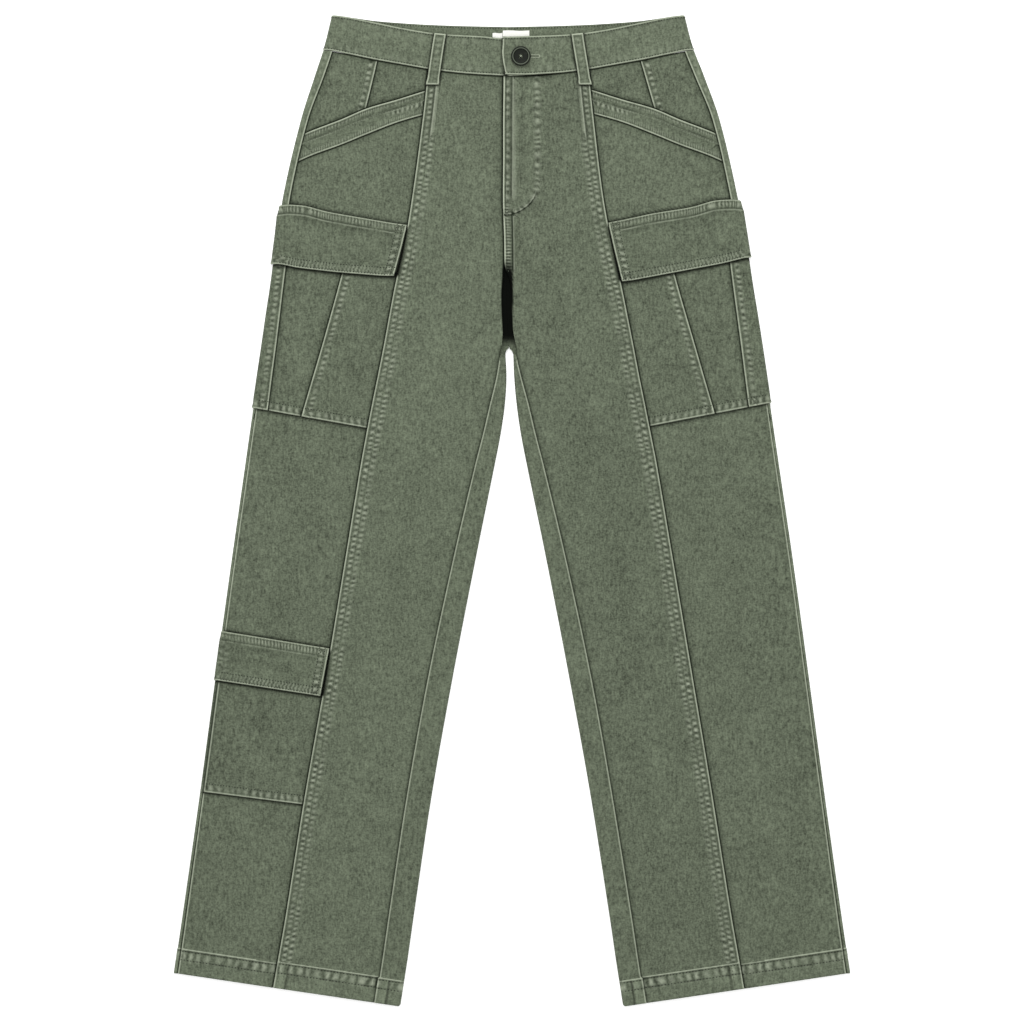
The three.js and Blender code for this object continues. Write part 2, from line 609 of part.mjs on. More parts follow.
function addCargoPocket(sideName) {
  const side = SIDES[sideName];
  const flap = CARGO_FLAP[sideName];
  const foot = CARGO_FOOT[sideName];
  const [front, pleat, gusset] = [frontSeam[sideName], pleatSeam[sideName], gussetSeam[sideName]];
  const parts = [
    { name: 'cargo_front', left: front, right: pleat, columns: steps(4) },
    { name: 'cargo_middle', left: pleat, right: gusset, columns: steps(3) },
    { name: 'cargo_gusset', left: gusset, right: foldStart, columns: wrapColumns(2, CARGO_WRAP) },
  ];
  for (const { name, left, right, columns } of parts) {
    const shape = pocketPiece(side, left, right, flap.top, foot, columns, 7);
    addPiece(`${name}_${sideName}`, shape, 'twill');
  }
  const drawIn = { top: FLAP_DRAW_IN.cargoTop, foot: FLAP_DRAW_IN.cargoFoot };
  addFlap(`cargo_flap_${sideName}`, sideName, flap.top, flap.foot, drawIn, CARGO_WRAP);
}

function addKneePocket() {
  const seam = frontSeam.right;
  const columns = wrapColumns(4, KNEE_WRAP);
  const body = pocketPiece(SIDES.right, seam, foldStart, KNEE_FLAP.top, KNEE_FOOT, columns, 6);
  addPiece('knee_pocket', body, 'twill');
  const drawIn = { top: FLAP_DRAW_IN.kneeTop, foot: FLAP_DRAW_IN.kneeFoot };
  addFlap('knee_flap', 'right', KNEE_FLAP.top, KNEE_FLAP.foot, drawIn, KNEE_WRAP);
}

// Blank labels sewn inside the back waistband, seen above the lower front edge
function addLabels() {
  for (const { name, from, to, top, foot } of LABELS) {
    const floor = WAISTBAND_WALL + SEAM_GAP;
    const shape = clothWall([0, 1], [0, 1], (u, v, depth) => {
      return new THREE.Vector3(lerp(from, to, u), lerp(top, foot, v), floor + (1 - depth) * LABEL_WALL);
    });
    addPiece(name, shape, 'label');
  }
}

// The closed button: a dished disc with a raised rim and four sewing holes. The profile runs from
// the middle of the back to the middle of the sunk front.
async function addButton() {
  const wasm = await Module();
  wasm.setup();
  const { radius, thickness, rim, dish, holeRadius, holeSpread } = BUTTON;
  const soft = 0.5;
  const profile = [
    [0, 0], [radius - rim, 0], [radius - soft, soft], [radius, thickness / 2],
    [radius - soft, thickness - soft / 2], [radius - rim / 2, thickness],
    [radius - rim, thickness - dish / 3], [radius - 1.4 * rim, thickness - dish], [0, thickness - dish],
  ].map(([x, y]) => new THREE.Vector2(x, y));
  const disc = new THREE.LatheGeometry(profile, 32);
  const solidOf = (geometry) => {
    const bare = geometry.clone();
    bare.deleteAttribute('normal');
    bare.deleteAttribute('uv');
    const merged = mergeVertices(bare, 1e-4);
    return new wasm.Manifold(
      new wasm.Mesh({
        numProp: 3,
        vertProperties: merged.attributes.position.array,
        triVerts: new Uint32Array(merged.index.array),
      }),
    );
  };
  let solid = solidOf(disc);
  for (const [x, z] of [[1, 0], [0, 1], [-1, 0], [0, -1]]) {
    const drill = new THREE.CylinderGeometry(holeRadius, holeRadius, 3 * thickness, 10);
    drill.translate(x * holeSpread, thickness / 2, z * holeSpread);
    solid = solid.subtract(solidOf(drill));
  }
  const { vertProperties, triVerts } = solid.getMesh();
  const geometry = new THREE.BufferGeometry();
  geometry.setAttribute('position', new THREE.BufferAttribute(vertProperties, 3));
  geometry.setIndex(new THREE.BufferAttribute(triVerts, 1));
  geometry.computeVertexNormals();
  const button = addPiece('button', geometry, 'button');
  const fromMiddle = BUTTON.x - middleLine(BUTTON.y);
  const seat = frontHeight(1, fromMiddle, BUTTON.y) + WAISTBAND_PROUD + OVERLAP_LIFT + SEAM_GAP;
  button.rotation.x = PI / 2;
  button.position.set(BUTTON.x, BUTTON.y, seat);
}

for (const sideName of Object.keys(SIDES)) {
  addBackPanel(sideName);
  addFrontPanel(sideName);
  addSidePanel(sideName);
  addHipYoke(sideName);
  addPocketBand(sideName);
  addWaistband(sideName);
  addBeltLoop(sideName);
  addCargoPocket(sideName);
}
addKneePocket();
addLabels();
await addButton();

export default trousers;
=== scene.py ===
"""Cargo trousers laid flat: cloth shells, topstitching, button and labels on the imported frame."""

import logging
import math
from dataclasses import dataclass, field
from enum import Enum
from typing import Callable, NamedTuple, Sequence

import bpy
import numpy as np
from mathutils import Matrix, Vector


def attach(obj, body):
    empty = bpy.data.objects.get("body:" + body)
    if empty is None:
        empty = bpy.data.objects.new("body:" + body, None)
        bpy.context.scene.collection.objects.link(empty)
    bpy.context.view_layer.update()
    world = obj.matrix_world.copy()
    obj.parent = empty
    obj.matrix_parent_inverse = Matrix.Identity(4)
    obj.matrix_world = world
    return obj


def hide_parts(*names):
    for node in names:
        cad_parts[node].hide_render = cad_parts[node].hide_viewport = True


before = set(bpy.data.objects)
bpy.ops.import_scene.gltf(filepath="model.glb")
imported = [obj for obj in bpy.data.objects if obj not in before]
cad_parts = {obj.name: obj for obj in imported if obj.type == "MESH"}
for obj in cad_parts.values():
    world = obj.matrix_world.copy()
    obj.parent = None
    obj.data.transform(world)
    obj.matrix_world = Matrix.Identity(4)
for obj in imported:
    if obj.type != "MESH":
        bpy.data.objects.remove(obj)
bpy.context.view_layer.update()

Array = np.ndarray
Curve = Callable[[Array], Array]

# Every length in this script is in millimetres, and this turns it into Blender's metres
MM = 0.001

# Shape of the laid-out garment, as in the solids
FOLD_RADIUS = 2.6
SWELL = 1.5
SWELL_REACH = 70.0
SEAM_GAP = 0.3
TWILL_WALL = 1.2
DOUBLED_WALL = 2.0
WAISTBAND_WALL = 2.2
WAISTBAND_PROUD = 0.6
OVERLAP_LIFT = WAISTBAND_WALL + 0.5
OVERLAP_END = 62.0
OVERLAP_FADE = 32.0
BAND_LIFT = 0.6
POCKET_LIFT = 1.5
FLAP_LIFT = 3.8
FLAP_RISE = 0.2
CARGO_WRAP = 1.78
KNEE_WRAP = 0.6
MOUTH_DEPTH = 16.0
FLY_EDGE = -7.0
FLY_WIDTH = 35.5
FLY_TOP_OF_CURVE = 345.0
FLY_FOOT = 311.0
FLY_RAISE = 0.8
FLY_RAMP = 4.0
UNDERLAP_END = 28.0
CREVICE_TOP = 262.0
CREVICE_FOOT = 225.0
BACK_SPLIT = 174.0
BACK_ROLL = 12.0
INSEAM_ROLL = 0.42
FRONT_HEM = (28.0, 26.0, 16.6)
SIDE_HEM = (26.4, 24.3, 15.2)
BACK_HEM = (27.0, 25.0, 16.0)
HEM_PATCH = 12.4
HEM_TOP_AT_INSEAM = -490.0

# Rounds in which a place on a panel, and a row of stitches along an edge, are closed in on
PLAN_ROUNDS = 12
ROW_ROUNDS = 8

# Levels where the sewing changes: at the side seam, the fly, the crotch and the inseam
LAP_CHANGE = 150
FLY_LAP_FOOT = 246
CROTCH_TOP = 318
PLACKET_FOOT = 322
INSEAM_TOP = 168

# Distances from a seam: the crease beyond its rows of stitches, and the ridge beyond that
SEAM_CREASE = 9.6
FLY_CREASE = 9.2
SEAM_RIDGE = 11.4

# Depth of the waistband, and the spacing of its rows of points
BAND_DEPTH = 37.0
BAND_STEP = 1.8

# Stitches lie a little over the cloth
UP = np.array([0.0, 0.0, 1.0])
PANEL_STITCH_RISE = 0.12
STITCH_RISE = 0.15
HEM_STITCH_PITCH = 3.4


class Section(NamedTuple):
    """The garment at one level.

    lean is where its middle line lies, and the rest counts outwards from that line: outer is the side
    fold, side is how far inside it the side seam lies, front is the long seam of the front, roll moves
    the long seams towards +X, inner is the inner fold of the leg, drift moves that fold towards +X, and
    turn is how far past the inner fold the inseam lies.
    """

    y: float
    lean: float
    outer: float
    side: float
    front: float
    roll: float
    inner: float
    drift: float
    turn: float


SECTIONS = tuple(Section(*row) for row in (
    # level, lean, outer, side, front, roll, inner, drift, turn
    (520, -4, 184.8, 10, 80, -0.2, 0, -3, -3.6),
    (488, -3.7, 193, 10, 82.5, -0.2, 0, -3, -3.6),
    (457, -2.7, 204.1, 9.9, 85, -1.2, 0, -3, -3.6),
    (410, -1.8, 219.9, 7.6, 90, -2.2, 0, -3, -3.6),
    (331, -1.8, 238.4, 7.7, 100.2, -2.7, 0, -3, -3.6),
    (283, -0.8, 245.6, 8, 108.6, -3.3, 2, -4, -3.6),
    (236, -0.4, 252.3, 7, 119.1, -3.6, 4.6, -5.1, -3.6),
    (205, -0.2, 257.2, 6, 125.2, -3.6, 4.7, -5, -3.6),
    (173, 0, 262, 5, 131.3, -3.6, 4.4, -3.3, 0.3),
    (141, 0, 266.8, 3.6, 137.5, -3.7, 4, -1.8, 6.7),
    (110, 0, 271.3, 2.8, 143.8, -3.7, 6.3, -1.3, 12.2),
    (79, 0, 275.8, 2.8, 149.8, -3.6, 10.8, -1.3, 15),
    (47, 0.1, 280.4, 2.8, 155.8, -3.5, 17, -1.4, 17),
    (-47, 0.3, 294, 2.8, 171.5, -3.4, 36.2, -1.4, 20),
    (-173, 0.2, 311.3, 3, 192.5, -3.2, 60.7, -1.3, 22.4),
    (-299, 0.2, 328.2, 3.2, 214.1, -3.8, 83.3, -1.1, 22.4),
    (-425, 0, 346, 3.8, 234.1, -3.6, 102.6, -0.4, 22.7),
    (-472, 0, 352.9, 4, 242.3, -3.6, 109.4, -0.3, 22.8),
    (-520, 0, 360, 4, 250.6, -3.6, 116.9, -0.3, 22.8),
))


class WaistEdge(NamedTuple):
    """Levels of the waistband's edges at a distance h from the middle line."""

    h: float
    front_top: float
    front_foot: float
    back_top: float
    back_foot: float


WAIST_EDGES = tuple(WaistEdge(*row) for row in (
    # distance, front top, front foot, back top, back foot
    (0, 496.8, 455.3, 507.4, 470.0),
    (45, 498.4, 458.0, 508.4, 470.4),
    (80, 501.0, 461.9, 509.6, 471.4),
    (111, 506.0, 467.2, 511.4, 473.4),
    (140, 512.0, 472.4, 513.8, 475.8),
    (170, 518.0, 478.7, 518.0, 479.6),
    (192, 520.0, 482.5, 520.0, 482.5),
    (400, 520.0, 482.5, 520.0, 482.5),
))


class Mouth(NamedTuple):
    """Levels of the slanted pocket band's edges at a distance h from the middle line."""

    h: float
    top: float
    foot: float


POCKET_MOUTH = tuple(Mouth(*row) for row in (
    # distance, top, foot
    (80, 443.2, 417.8),
    (118, 431.2, 406.9),
    (151, 421.6, 394.2),
    (178, 410.2, 383.2),
    (208, 398.8, 372.3),
    (230, 389.5, 362.6),
))


class SeamPoint(NamedTuple):
    """One point of a long seam: its level and its distance from the middle line."""

    y: float
    h: float


FLY_LINE = tuple(SeamPoint(*row) for row in (
    (497, -6.0), (457, -6.4), (412, -7.7), (364, -7.7), (315, -8.0), (283, -7.6), (225, -7.8),
))
DART = tuple(SeamPoint(*row) for row in (
    (490, 133.6), (470, 138.5), (421, 151.5), (390, 160.0),
))
CARGO_GUSSET = tuple(SeamPoint(*row) for row in (
    (300, 228.0), (258, 233.0), (110, 252.0), (80, 256.0),
))
CARGO_PLEAT = tuple(SeamPoint(*row) for row in (
    (300, 161.5), (247, 175.0), (183, 193.0), (80, 223.0),
))


@dataclass(frozen=True)
class CrossLine:
    """A line across a leg: its level on the middle line, its rise per millimetre out and its bows.

    Each bow is a place along the line, a width and a height.
    """

    level: float
    rise: float
    bows: tuple[tuple[float, float, float], ...] = ()

    def __call__(self, h: Array) -> Array:
        """Level of the line at each distance from the middle line."""
        bowed = sum(height * bell(h - place, width) for place, width, height in self.bows)
        return self.level + self.rise * h + bowed


HEM = CrossLine(-538.9, 0.148)
CARGO_FOOT = {"right": CrossLine(59.0, 0.177), "left": CrossLine(60.0, 0.193)}
CARGO_FLAP_TOP = {
    "right": CrossLine(279.8, 0.173, ((104, 14, 0.7), (216, 16, 2.2), (244, 6, -2.4))),
    "left": CrossLine(282.8, 0.184, ((150, 26, 1.1), (214, 16, 2.6), (244, 7, -2.4))),
}
CARGO_FLAP_FOOT = {
    "right": CrossLine(232.4, 0.097, ((118, 12, 1.5), (185, 30, -0.7), (243, 12, 1.9))),
    "left": CrossLine(217.2, 0.187, ((110, 9, 1.5), (246, 16, 1.4))),
}
KNEE_FOOT = CrossLine(-336.6, 0.125)
KNEE_FLAP_TOP = CrossLine(-176.3, 0.162)
KNEE_FLAP_FOOT = CrossLine(-225.9, 0.152)


class Side(Enum):
    """The wearer's side of the garment; its value is the sign of X there."""

    RIGHT = -1
    LEFT = 1

    @property
    def word(self) -> str:
        """The side's name as it stands in the names of nodes."""
        return self.name.lower()


class Fold(NamedTuple):
    """A soft ridge or trough in the cloth."""

    x: float
    y: float
    degrees: float
    length: float
    width: float
    height: float


FOLD_DEPTH = 1.5
# Strength of the painted light on the creases' ridges and painted shade in their troughs
FOLD_SHADING = 0.38
FOLDS = tuple(Fold(*row) for row in (
    # x, y, direction in degrees, half-length, half-width, height
    # along the fly
    (4.7, 384, 90, 56, 3.6, 0.5),
    (11.6, 392, 91, 46, 2.8, -0.6),
    (17.0, 384, 89, 50, 3.6, 0.4),
    (22.4, 378, 90, 44, 2.4, -0.35),
    (-2.4, 378, 90, 60, 2.0, -0.3),
    # drawn out from the crotch
    (6.6, 285, -64, 16, 2.6, -0.9),
    (1.6, 284, -80, 26, 3.2, 0.45),
    (14.0, 276, -66, 34, 6.0, 0.45),
    (26.0, 258, -52, 48, 7.0, -0.6),
    (40.0, 250, -46, 52, 9.0, 0.45),
    (-14.6, 352, 88, 52, 6.0, -0.6),
    (-24.0, 330, 78, 60, 8.0, 0.35),
    (-28.0, 296, 66, 44, 7.0, -0.45),
    (-20.0, 236, -104, 40, 6.0, -0.4),
    (-44.0, 410, -58, 36, 7.0, -0.45),
    (-56.0, 392, -62, 40, 8.0, 0.3),
    (52.0, 404, -112, 36, 8.0, -0.35),
    (62.0, 330, -74, 60, 9.0, 0.3),
    # at the hips
    (203.0, 352, 10, 22, 3.4, -0.75),
    (205.0, 346, 17, 22, 3.4, 0.45),
    (208.0, 339, 26, 22, 3.4, -0.8),
    (196.0, 330, 22, 26, 5.0, 0.4),
    (184.0, 455, -28, 13, 2.2, 0.55),
    (180.0, 449, -26, 15, 2.6, -0.5),
    (184.0, 441, -18, 15, 2.6, 0.4),
    (176.0, 434, -10, 18, 3.0, -0.4),
    (116.0, 446, 33, 15, 3.6, -0.45),
    (126.0, 440, 30, 15, 3.6, 0.35),
    (-219.0, 356, -58, 11, 3.4, -0.55),
    (-214.0, 346, -48, 12, 3.4, 0.4),
    (-222.0, 342, -40, 12, 3.0, -0.4),
    (-196.0, 446, 24, 18, 4.0, -0.4),
    (-176.0, 430, 58, 22, 5.0, 0.35),
    # on the pockets and their flaps
    (-190.0, 298, -8, 26, 4.0, -0.55),
    (-206.0, 282, -14, 32, 6.0, 0.4),
    (-150.0, 262, 24, 26, 6.0, -0.35),
    (-124.0, 252, 48, 14, 3.4, 0.5),
    (-131.0, 248, 52, 14, 3.0, -0.45),
    (190.0, 296, 10, 30, 4.6, -0.5),
    (222.0, 288, -16, 18, 5.0, 0.4),
    (150.0, 264, -20, 24, 6.0, -0.35),
    (-217.0, 226, -52, 17, 2.0, -0.4),
    (-226.0, 150, -70, 22, 4.0, 0.35),
    (-150.0, 170, 72, 34, 7.0, -0.3),
    (214.0, 210, 60, 22, 4.0, -0.35),
    (152.0, 150, -72, 34, 7.0, -0.3),
    (-262.0, -164, -10, 34, 4.4, -0.45),
    (-250.0, -178, 12, 22, 5.0, 0.4),
    (-222.0, -176, 30, 16, 4.0, -0.4),
    # long soft ones down the legs
    (134.0, -147.0, -110, 58, 7.0, -0.5),
    (82.0, 74.0, -80, 28, 9.0, -0.5),
    (-84.0, 150, -104, 90, 12.0, 0.4),
    (84.0, 140, -76, 90, 12.0, 0.4),
    (-112.0, -40, -101, 120, 14.0, -0.4),
    (112.0, -60, -79, 120, 14.0, -0.4),
    (-150.0, -240, -99, 110, 13.0, 0.4),
    (156.0, -260, -81, 110, 13.0, 0.4),
    (-236.0, -40, -98, 90, 12.0, -0.35),
    (236.0, -60, -82, 110, 12.0, -0.35),
    (262.0, -300, -84, 100, 12.0, 0.35),
    (-266.0, -410, -96, 60, 10.0, 0.35),
))


def lerp(a: Array | float, b: Array | float, t: Array | float) -> Array | float:
    """Goes from a to b as t goes from 0 to 1."""
    return a + (b - a) * t


def ease(t: Array | float) -> Array:
    """A smooth step from 0 to 1 as t goes from 0 to 1."""
    held = np.clip(t, 0.0, 1.0)
    return held * held * (3 - 2 * held)


def bell(distance: Array | float, width: float) -> Array:
    """A soft bump that is 1 at distance 0 and fades over the width."""
    return np.exp(-((np.asarray(distance) / width) ** 2))


def table_curve(rows: Sequence[NamedTuple], key: str, column: str) -> Curve:
    """A smooth curve through one column of a table.

    Args:
        rows: The table, in any order.
        key: The column that the curve runs along.
        column: The column whose values it gives.

    Returns:
        A function from key values to column values.
    """
    ordered = sorted(rows, key=lambda row: getattr(row, key))
    at = np.array([getattr(row, key) for row in ordered], float)
    value = np.array([getattr(row, column) for row in ordered], float)
    before = np.r_[0, np.arange(len(at) - 1)]
    after = np.r_[np.arange(1, len(at)), len(at) - 1]
    slope = (value[after] - value[before]) / (at[after] - at[before])

    def curve(where: Array) -> Array:
        where = np.asarray(where, float)
        i = np.clip(np.searchsorted(at, where) - 1, 0, len(at) - 2)
        span = at[i + 1] - at[i]
        t = np.clip((where - at[i]) / span, 0, 1)
        rest = 1 - t
        return (
            value[i] * (1 + 2 * t) * rest * rest
            + value[i + 1] * t * t * (3 - 2 * t)
            + span * (slope[i] * t * rest * rest - slope[i + 1] * t * t * rest)
        )

    return curve


outer_fold = table_curve(SECTIONS, "y", "outer")
side_inset = table_curve(SECTIONS, "y", "side")
middle_line = table_curve(SECTIONS, "y", "lean")
front_half = table_curve(SECTIONS, "y", "front")
seam_roll = table_curve(SECTIONS, "y", "roll")
inner_half = table_curve(SECTIONS, "y", "inner")
inner_drift = table_curve(SECTIONS, "y", "drift")
inseam_half = table_curve(SECTIONS, "y", "turn")
fly_line = table_curve(FLY_LINE, "y", "h")
waist_front_top = table_curve(WAIST_EDGES, "h", "front_top")
waist_front_foot = table_curve(WAIST_EDGES, "h", "front_foot")
waist_back_top = table_curve(WAIST_EDGES, "h", "back_top")
waist_back_foot = table_curve(WAIST_EDGES, "h", "back_foot")
mouth_top = table_curve(POCKET_MOUTH, "h", "top")
mouth_foot = table_curve(POCKET_MOUTH, "h", "foot")
dart_seam = table_curve(DART, "y", "h")
gusset_half = table_curve(CARGO_GUSSET, "y", "h")
pleat_half = table_curve(CARGO_PLEAT, "y", "h")


def rolled(side: Side, half: Curve) -> Curve:
    """A long seam of one leg, rolled towards +X with the cloth."""
    return lambda y: half(y) + side.value * seam_roll(y)


front_seam = {side: rolled(side, front_half) for side in Side}
gusset_seam = {side: rolled(side, gusset_half) for side in Side}
pleat_seam = {side: rolled(side, pleat_half) for side in Side}


def across(side: Side, h: Array, y: Array) -> Array:
    """X of a place at a distance h from the leaning middle line."""
    return middle_line(y) + side.value * h


def placed(side: Side, h: Array, y: Array, z: Array) -> Array:
    """Points at a distance h from the middle line; the last axis is X, Y and Z."""
    return np.stack([across(side, h, y), y, z], axis=-1)


def side_seam(y: Array) -> Array:
    """Distance of the side seam from the middle line."""
    return outer_fold(y) - side_inset(y)


def fold_start(y: Array) -> Array:
    """Where the front begins to turn down round the outer side fold."""
    return outer_fold(y) - FOLD_RADIUS


def inner_start(side: Side, y: Array) -> Array:
    """Where the front begins to turn down round the inner fold of a leg."""
    return inner_half(y) + side.value * inner_drift(y) + FOLD_RADIUS


def centre_back(side: Side, y: Array) -> Array:
    """Distance of the centre back seam from the middle line."""
    return side.value * inner_drift(y) - 0.05


def inseam_turn(side: Side, y: Array) -> Array:
    """How far past the inner fold the inseam lies."""
    below = ease((BACK_SPLIT - y) / BACK_ROLL)
    stepped = 1.5 * ease((HEM_TOP_AT_INSEAM - y) / 1.6)
    return inseam_half(y) + side.value * INSEAM_ROLL * seam_roll(y) * below + stepped


def inner_turned(y: Array) -> Array:
    """How far the inner edge of a front panel has turned down, from 0 above the crotch to 1."""
    return ease((CREVICE_TOP - y) / (CREVICE_TOP - CREVICE_FOOT))


def band_foot(side: Side, h: Array) -> Array:
    """Level of the waistband's foot on the front, a little higher at the closing edge."""
    raised = 1.3 * bell(h + 2, 12) if side is Side.LEFT else 0.0
    return waist_front_foot(np.abs(h)) + raised


class Ripples:
    """A smooth uneven surface: the sum of gentle waves in seeded directions."""

    def __init__(self, seed: int, waves: int, shortest: float, longest: float, height: float) -> None:
        """Draws the waves.

        Args:
            seed: Seed of the random draws.
            waves: Number of waves.
            shortest: Shortest wavelength.
            longest: Longest wavelength.
            height: Usual height of the surface over its middle level.
        """
        random = np.random.default_rng(seed)
        turn = random.uniform(0, 2 * np.pi, waves)
        number = 2 * np.pi / random.uniform(shortest, longest, waves)
        self.kx = number * np.cos(turn)
        self.ky = number * np.sin(turn)
        self.phase = random.uniform(0, 2 * np.pi, waves)
        self.height = height * math.sqrt(2 / waves)

    def __call__(self, x: Array, y: Array) -> Array:
        """Height of the surface at each place."""
        total = np.zeros(np.shape(x))
        for kx, ky, phase in zip(self.kx, self.ky, self.phase):
            total = total + np.cos(kx * x + ky * y + phase)
        return self.height * total


BROAD_RIPPLES = Ripples(seed=11, waves=14, shortest=55, longest=150, height=0.22)
FINE_RIPPLES = Ripples(seed=12, waves=22, shortest=13, longest=34, height=0.075)
WANDER = Ripples(seed=13, waves=9, shortest=16, longest=60, height=1.0)
SCATTER = Ripples(seed=14, waves=16, shortest=5, longest=14, height=1.0)


def creasing(x: Array, y: Array) -> Array:
    """Sum of the creases at each place, over 0 on a ridge and under 0 in a trough."""
    total = np.zeros(np.shape(x))
    for fold in FOLDS:
        turn = math.radians(fold.degrees)
        along = (x - fold.x) * math.cos(turn) + (y - fold.y) * math.sin(turn)
        across = (y - fold.y) * math.cos(turn) - (x - fold.x) * math.sin(turn)
        total = total + fold.height * bell(along, fold.length) * bell(across, fold.width)
    return total


def relief(x: Array, y: Array) -> Array:
    """Height of the creases and unevenness that all the layers share."""
    return BROAD_RIPPLES(x, y) + FINE_RIPPLES(x, y) + FOLD_DEPTH * creasing(x, y)


def front_height(side: Side, h: Array, y: Array) -> Array:
    """Height of the front's outer face at a distance h from the middle line."""
    from_outer = ease((fold_start(y) - h) / SWELL_REACH)
    from_inner = ease(np.maximum(0, h - inner_start(side, y)) / SWELL_REACH)
    open_cloth = lerp(from_outer, from_outer * from_inner, inner_turned(y))
    soft = ease((fold_start(y) - h) / 16) * lerp(1, ease((h - inner_start(side, y)) / 12), inner_turned(y))
    return 2 * FOLD_RADIUS + SWELL * open_cloth + relief(across(side, h, y), y) * soft


def skin(side: Side, h: Array, y: Array, lift: Array) -> Array:
    """Points of the garment's skin, raised along its own direction.

    Args:
        side: The wearer's side.
        h: Distance from the middle line; past the side fold it counts round it and on underneath.
        y: Level.
        lift: Height over the skin.

    Returns:
        An array of points whose last axis is X, Y and Z.
    """
    h, y, lift = np.broadcast_arrays(h, y, lift)
    start = fold_start(y)
    half_round = math.pi * FOLD_RADIUS
    x = h.astype(float).copy()
    z = front_height(side, np.minimum(h, start), y) + lift

    turned = inner_turned(y)
    inner = inner_start(side, y)
    bend = FOLD_RADIUS / np.maximum(turned, 1e-6)
    angle = (inner - h) / bend
    over_inner = (turned > 0) & (h < inner)
    top = front_height(side, inner, y)
    x = np.where(over_inner, inner - (bend + lift) * np.sin(angle), x)
    z = np.where(over_inner, top - bend + (bend + lift) * np.cos(angle), z)

    angle = np.clip((h - start) / FOLD_RADIUS, 0, math.pi)
    round_fold = h > start
    x = np.where(round_fold, start + (FOLD_RADIUS + lift) * np.sin(angle), x)
    z = np.where(round_fold, FOLD_RADIUS + (FOLD_RADIUS + lift) * np.cos(angle), z)
    under = h > start + half_round
    x = np.where(under, 2 * start + half_round - h, x)
    z = np.where(under, -lift, z)
    return placed(side, x, y, z)


@dataclass(frozen=True)
class Border:
    """How an edge is sewn: a lapped edge stands up, a tucked one dips under its neighbour.

    rise is the height at the edge, rows are the distances of the pucker rows from it, pitch is their
    spacing along it, pucker their strength, spread their half-width, threads the distances of the
    rows of stitches, low and high the levels between which all this holds, and dark stitches sit deeper.
    """

    rise: float
    rows: tuple[float, ...] = ()
    pitch: float = 5.6
    pucker: float = 0.0
    spread: float = 1.9
    threads: tuple[float, ...] = ()
    shine: float = 1.0
    low: float = -700.0
    high: float = 700.0
    dark: bool = False

    def weight(self, y: Array) -> Array:
        """1 between the levels where the border holds, fading to 0 beyond them."""
        return ease((y - self.low) / 6 + 0.5) * ease((self.high - y) / 6 + 0.5)


TUCKED = Border(rise=-0.9)
LONG_SEAM = Border(rise=0.5, rows=(6.2, 12.4), pitch=6.0, pucker=1.0, spread=1.9, threads=(3.2, 9.2))
SHORT_SEAM = Border(rise=0.45, rows=(6.0,), pitch=7.0, pucker=1.0, spread=2.1, threads=(3.2, 8.6))
POCKET_SEAM = Border(rise=0.45, rows=(7.0,), pitch=6.2, pucker=0.9, spread=2.0, threads=(3.6,))
POCKET_HEM = Border(rise=0.5, rows=(4.8,), pitch=7.4, pucker=0.65, spread=3.0, threads=(9.2,), dark=True)
FLAP_FOOT = Border(rise=0.55, rows=(3.4, 7.0), pitch=3.9, pucker=0.5, threads=(1.9, 8.9), dark=True)
FLAP_SIDE = Border(rise=0.55, rows=(6.9,), pitch=6.6, pucker=0.85, spread=2.5, threads=(4.2, 10.0), dark=True)
FLAP_TOP = Border(rise=0.45, rows=(4.8,), pitch=3.5, pucker=0.66, spread=3.2, threads=(1.7, 8.8), shine=0.65)
FLAP_BAND = 9.6
BAND_TOP = Border(rise=0.45, rows=(3.8,), pitch=3.4, pucker=0.5, spread=1.7, threads=(2.4, 9.6))
BAND_FOOT = Border(rise=0.45, rows=(4.0,), pitch=2.7, pucker=0.5, spread=2.2, threads=(2.4,))
BAND_RIDGE = 9.0
WAIST_FOOT = Border(rise=0.5, rows=(5.0,), pitch=8.4, pucker=0.25, spread=3.4, threads=(2.2,))
WAIST_TOP = Border(rise=0.4, rows=(6.0,), pitch=9.0, pucker=0.15, spread=4.0, threads=(2.2,), shine=0.7)
LOOP_EDGE = Border(rise=0.35, threads=(2.4,))
FLY_LAP = Border(rise=0.6, threads=(3.0,), shine=1.7, low=FLY_LAP_FOOT)
FLY_ROW = Border(rise=0.0, rows=(5.0,), pitch=8.8, pucker=0.8, spread=1.8, low=CROTCH_TOP)
CROTCH_ROW = Border(rise=0.0, rows=(4.4,), pitch=3.3, pucker=1.0, spread=2.6, low=250, high=CROTCH_TOP)
CROTCH_STRIP = 1.7
INSEAM = Border(rise=0.45, shine=0.8, high=176)
INSEAM_UNDER = Border(rise=-0.45, shine=0.6, high=176)
HEM_FOLD = Border(rise=0.0, shine=0.35)


class Face(Enum):
    """The four edges of a piece in its own plan."""

    LEFT = "left"
    RIGHT = "right"
    TOP = "top"
    FOOT = "foot"


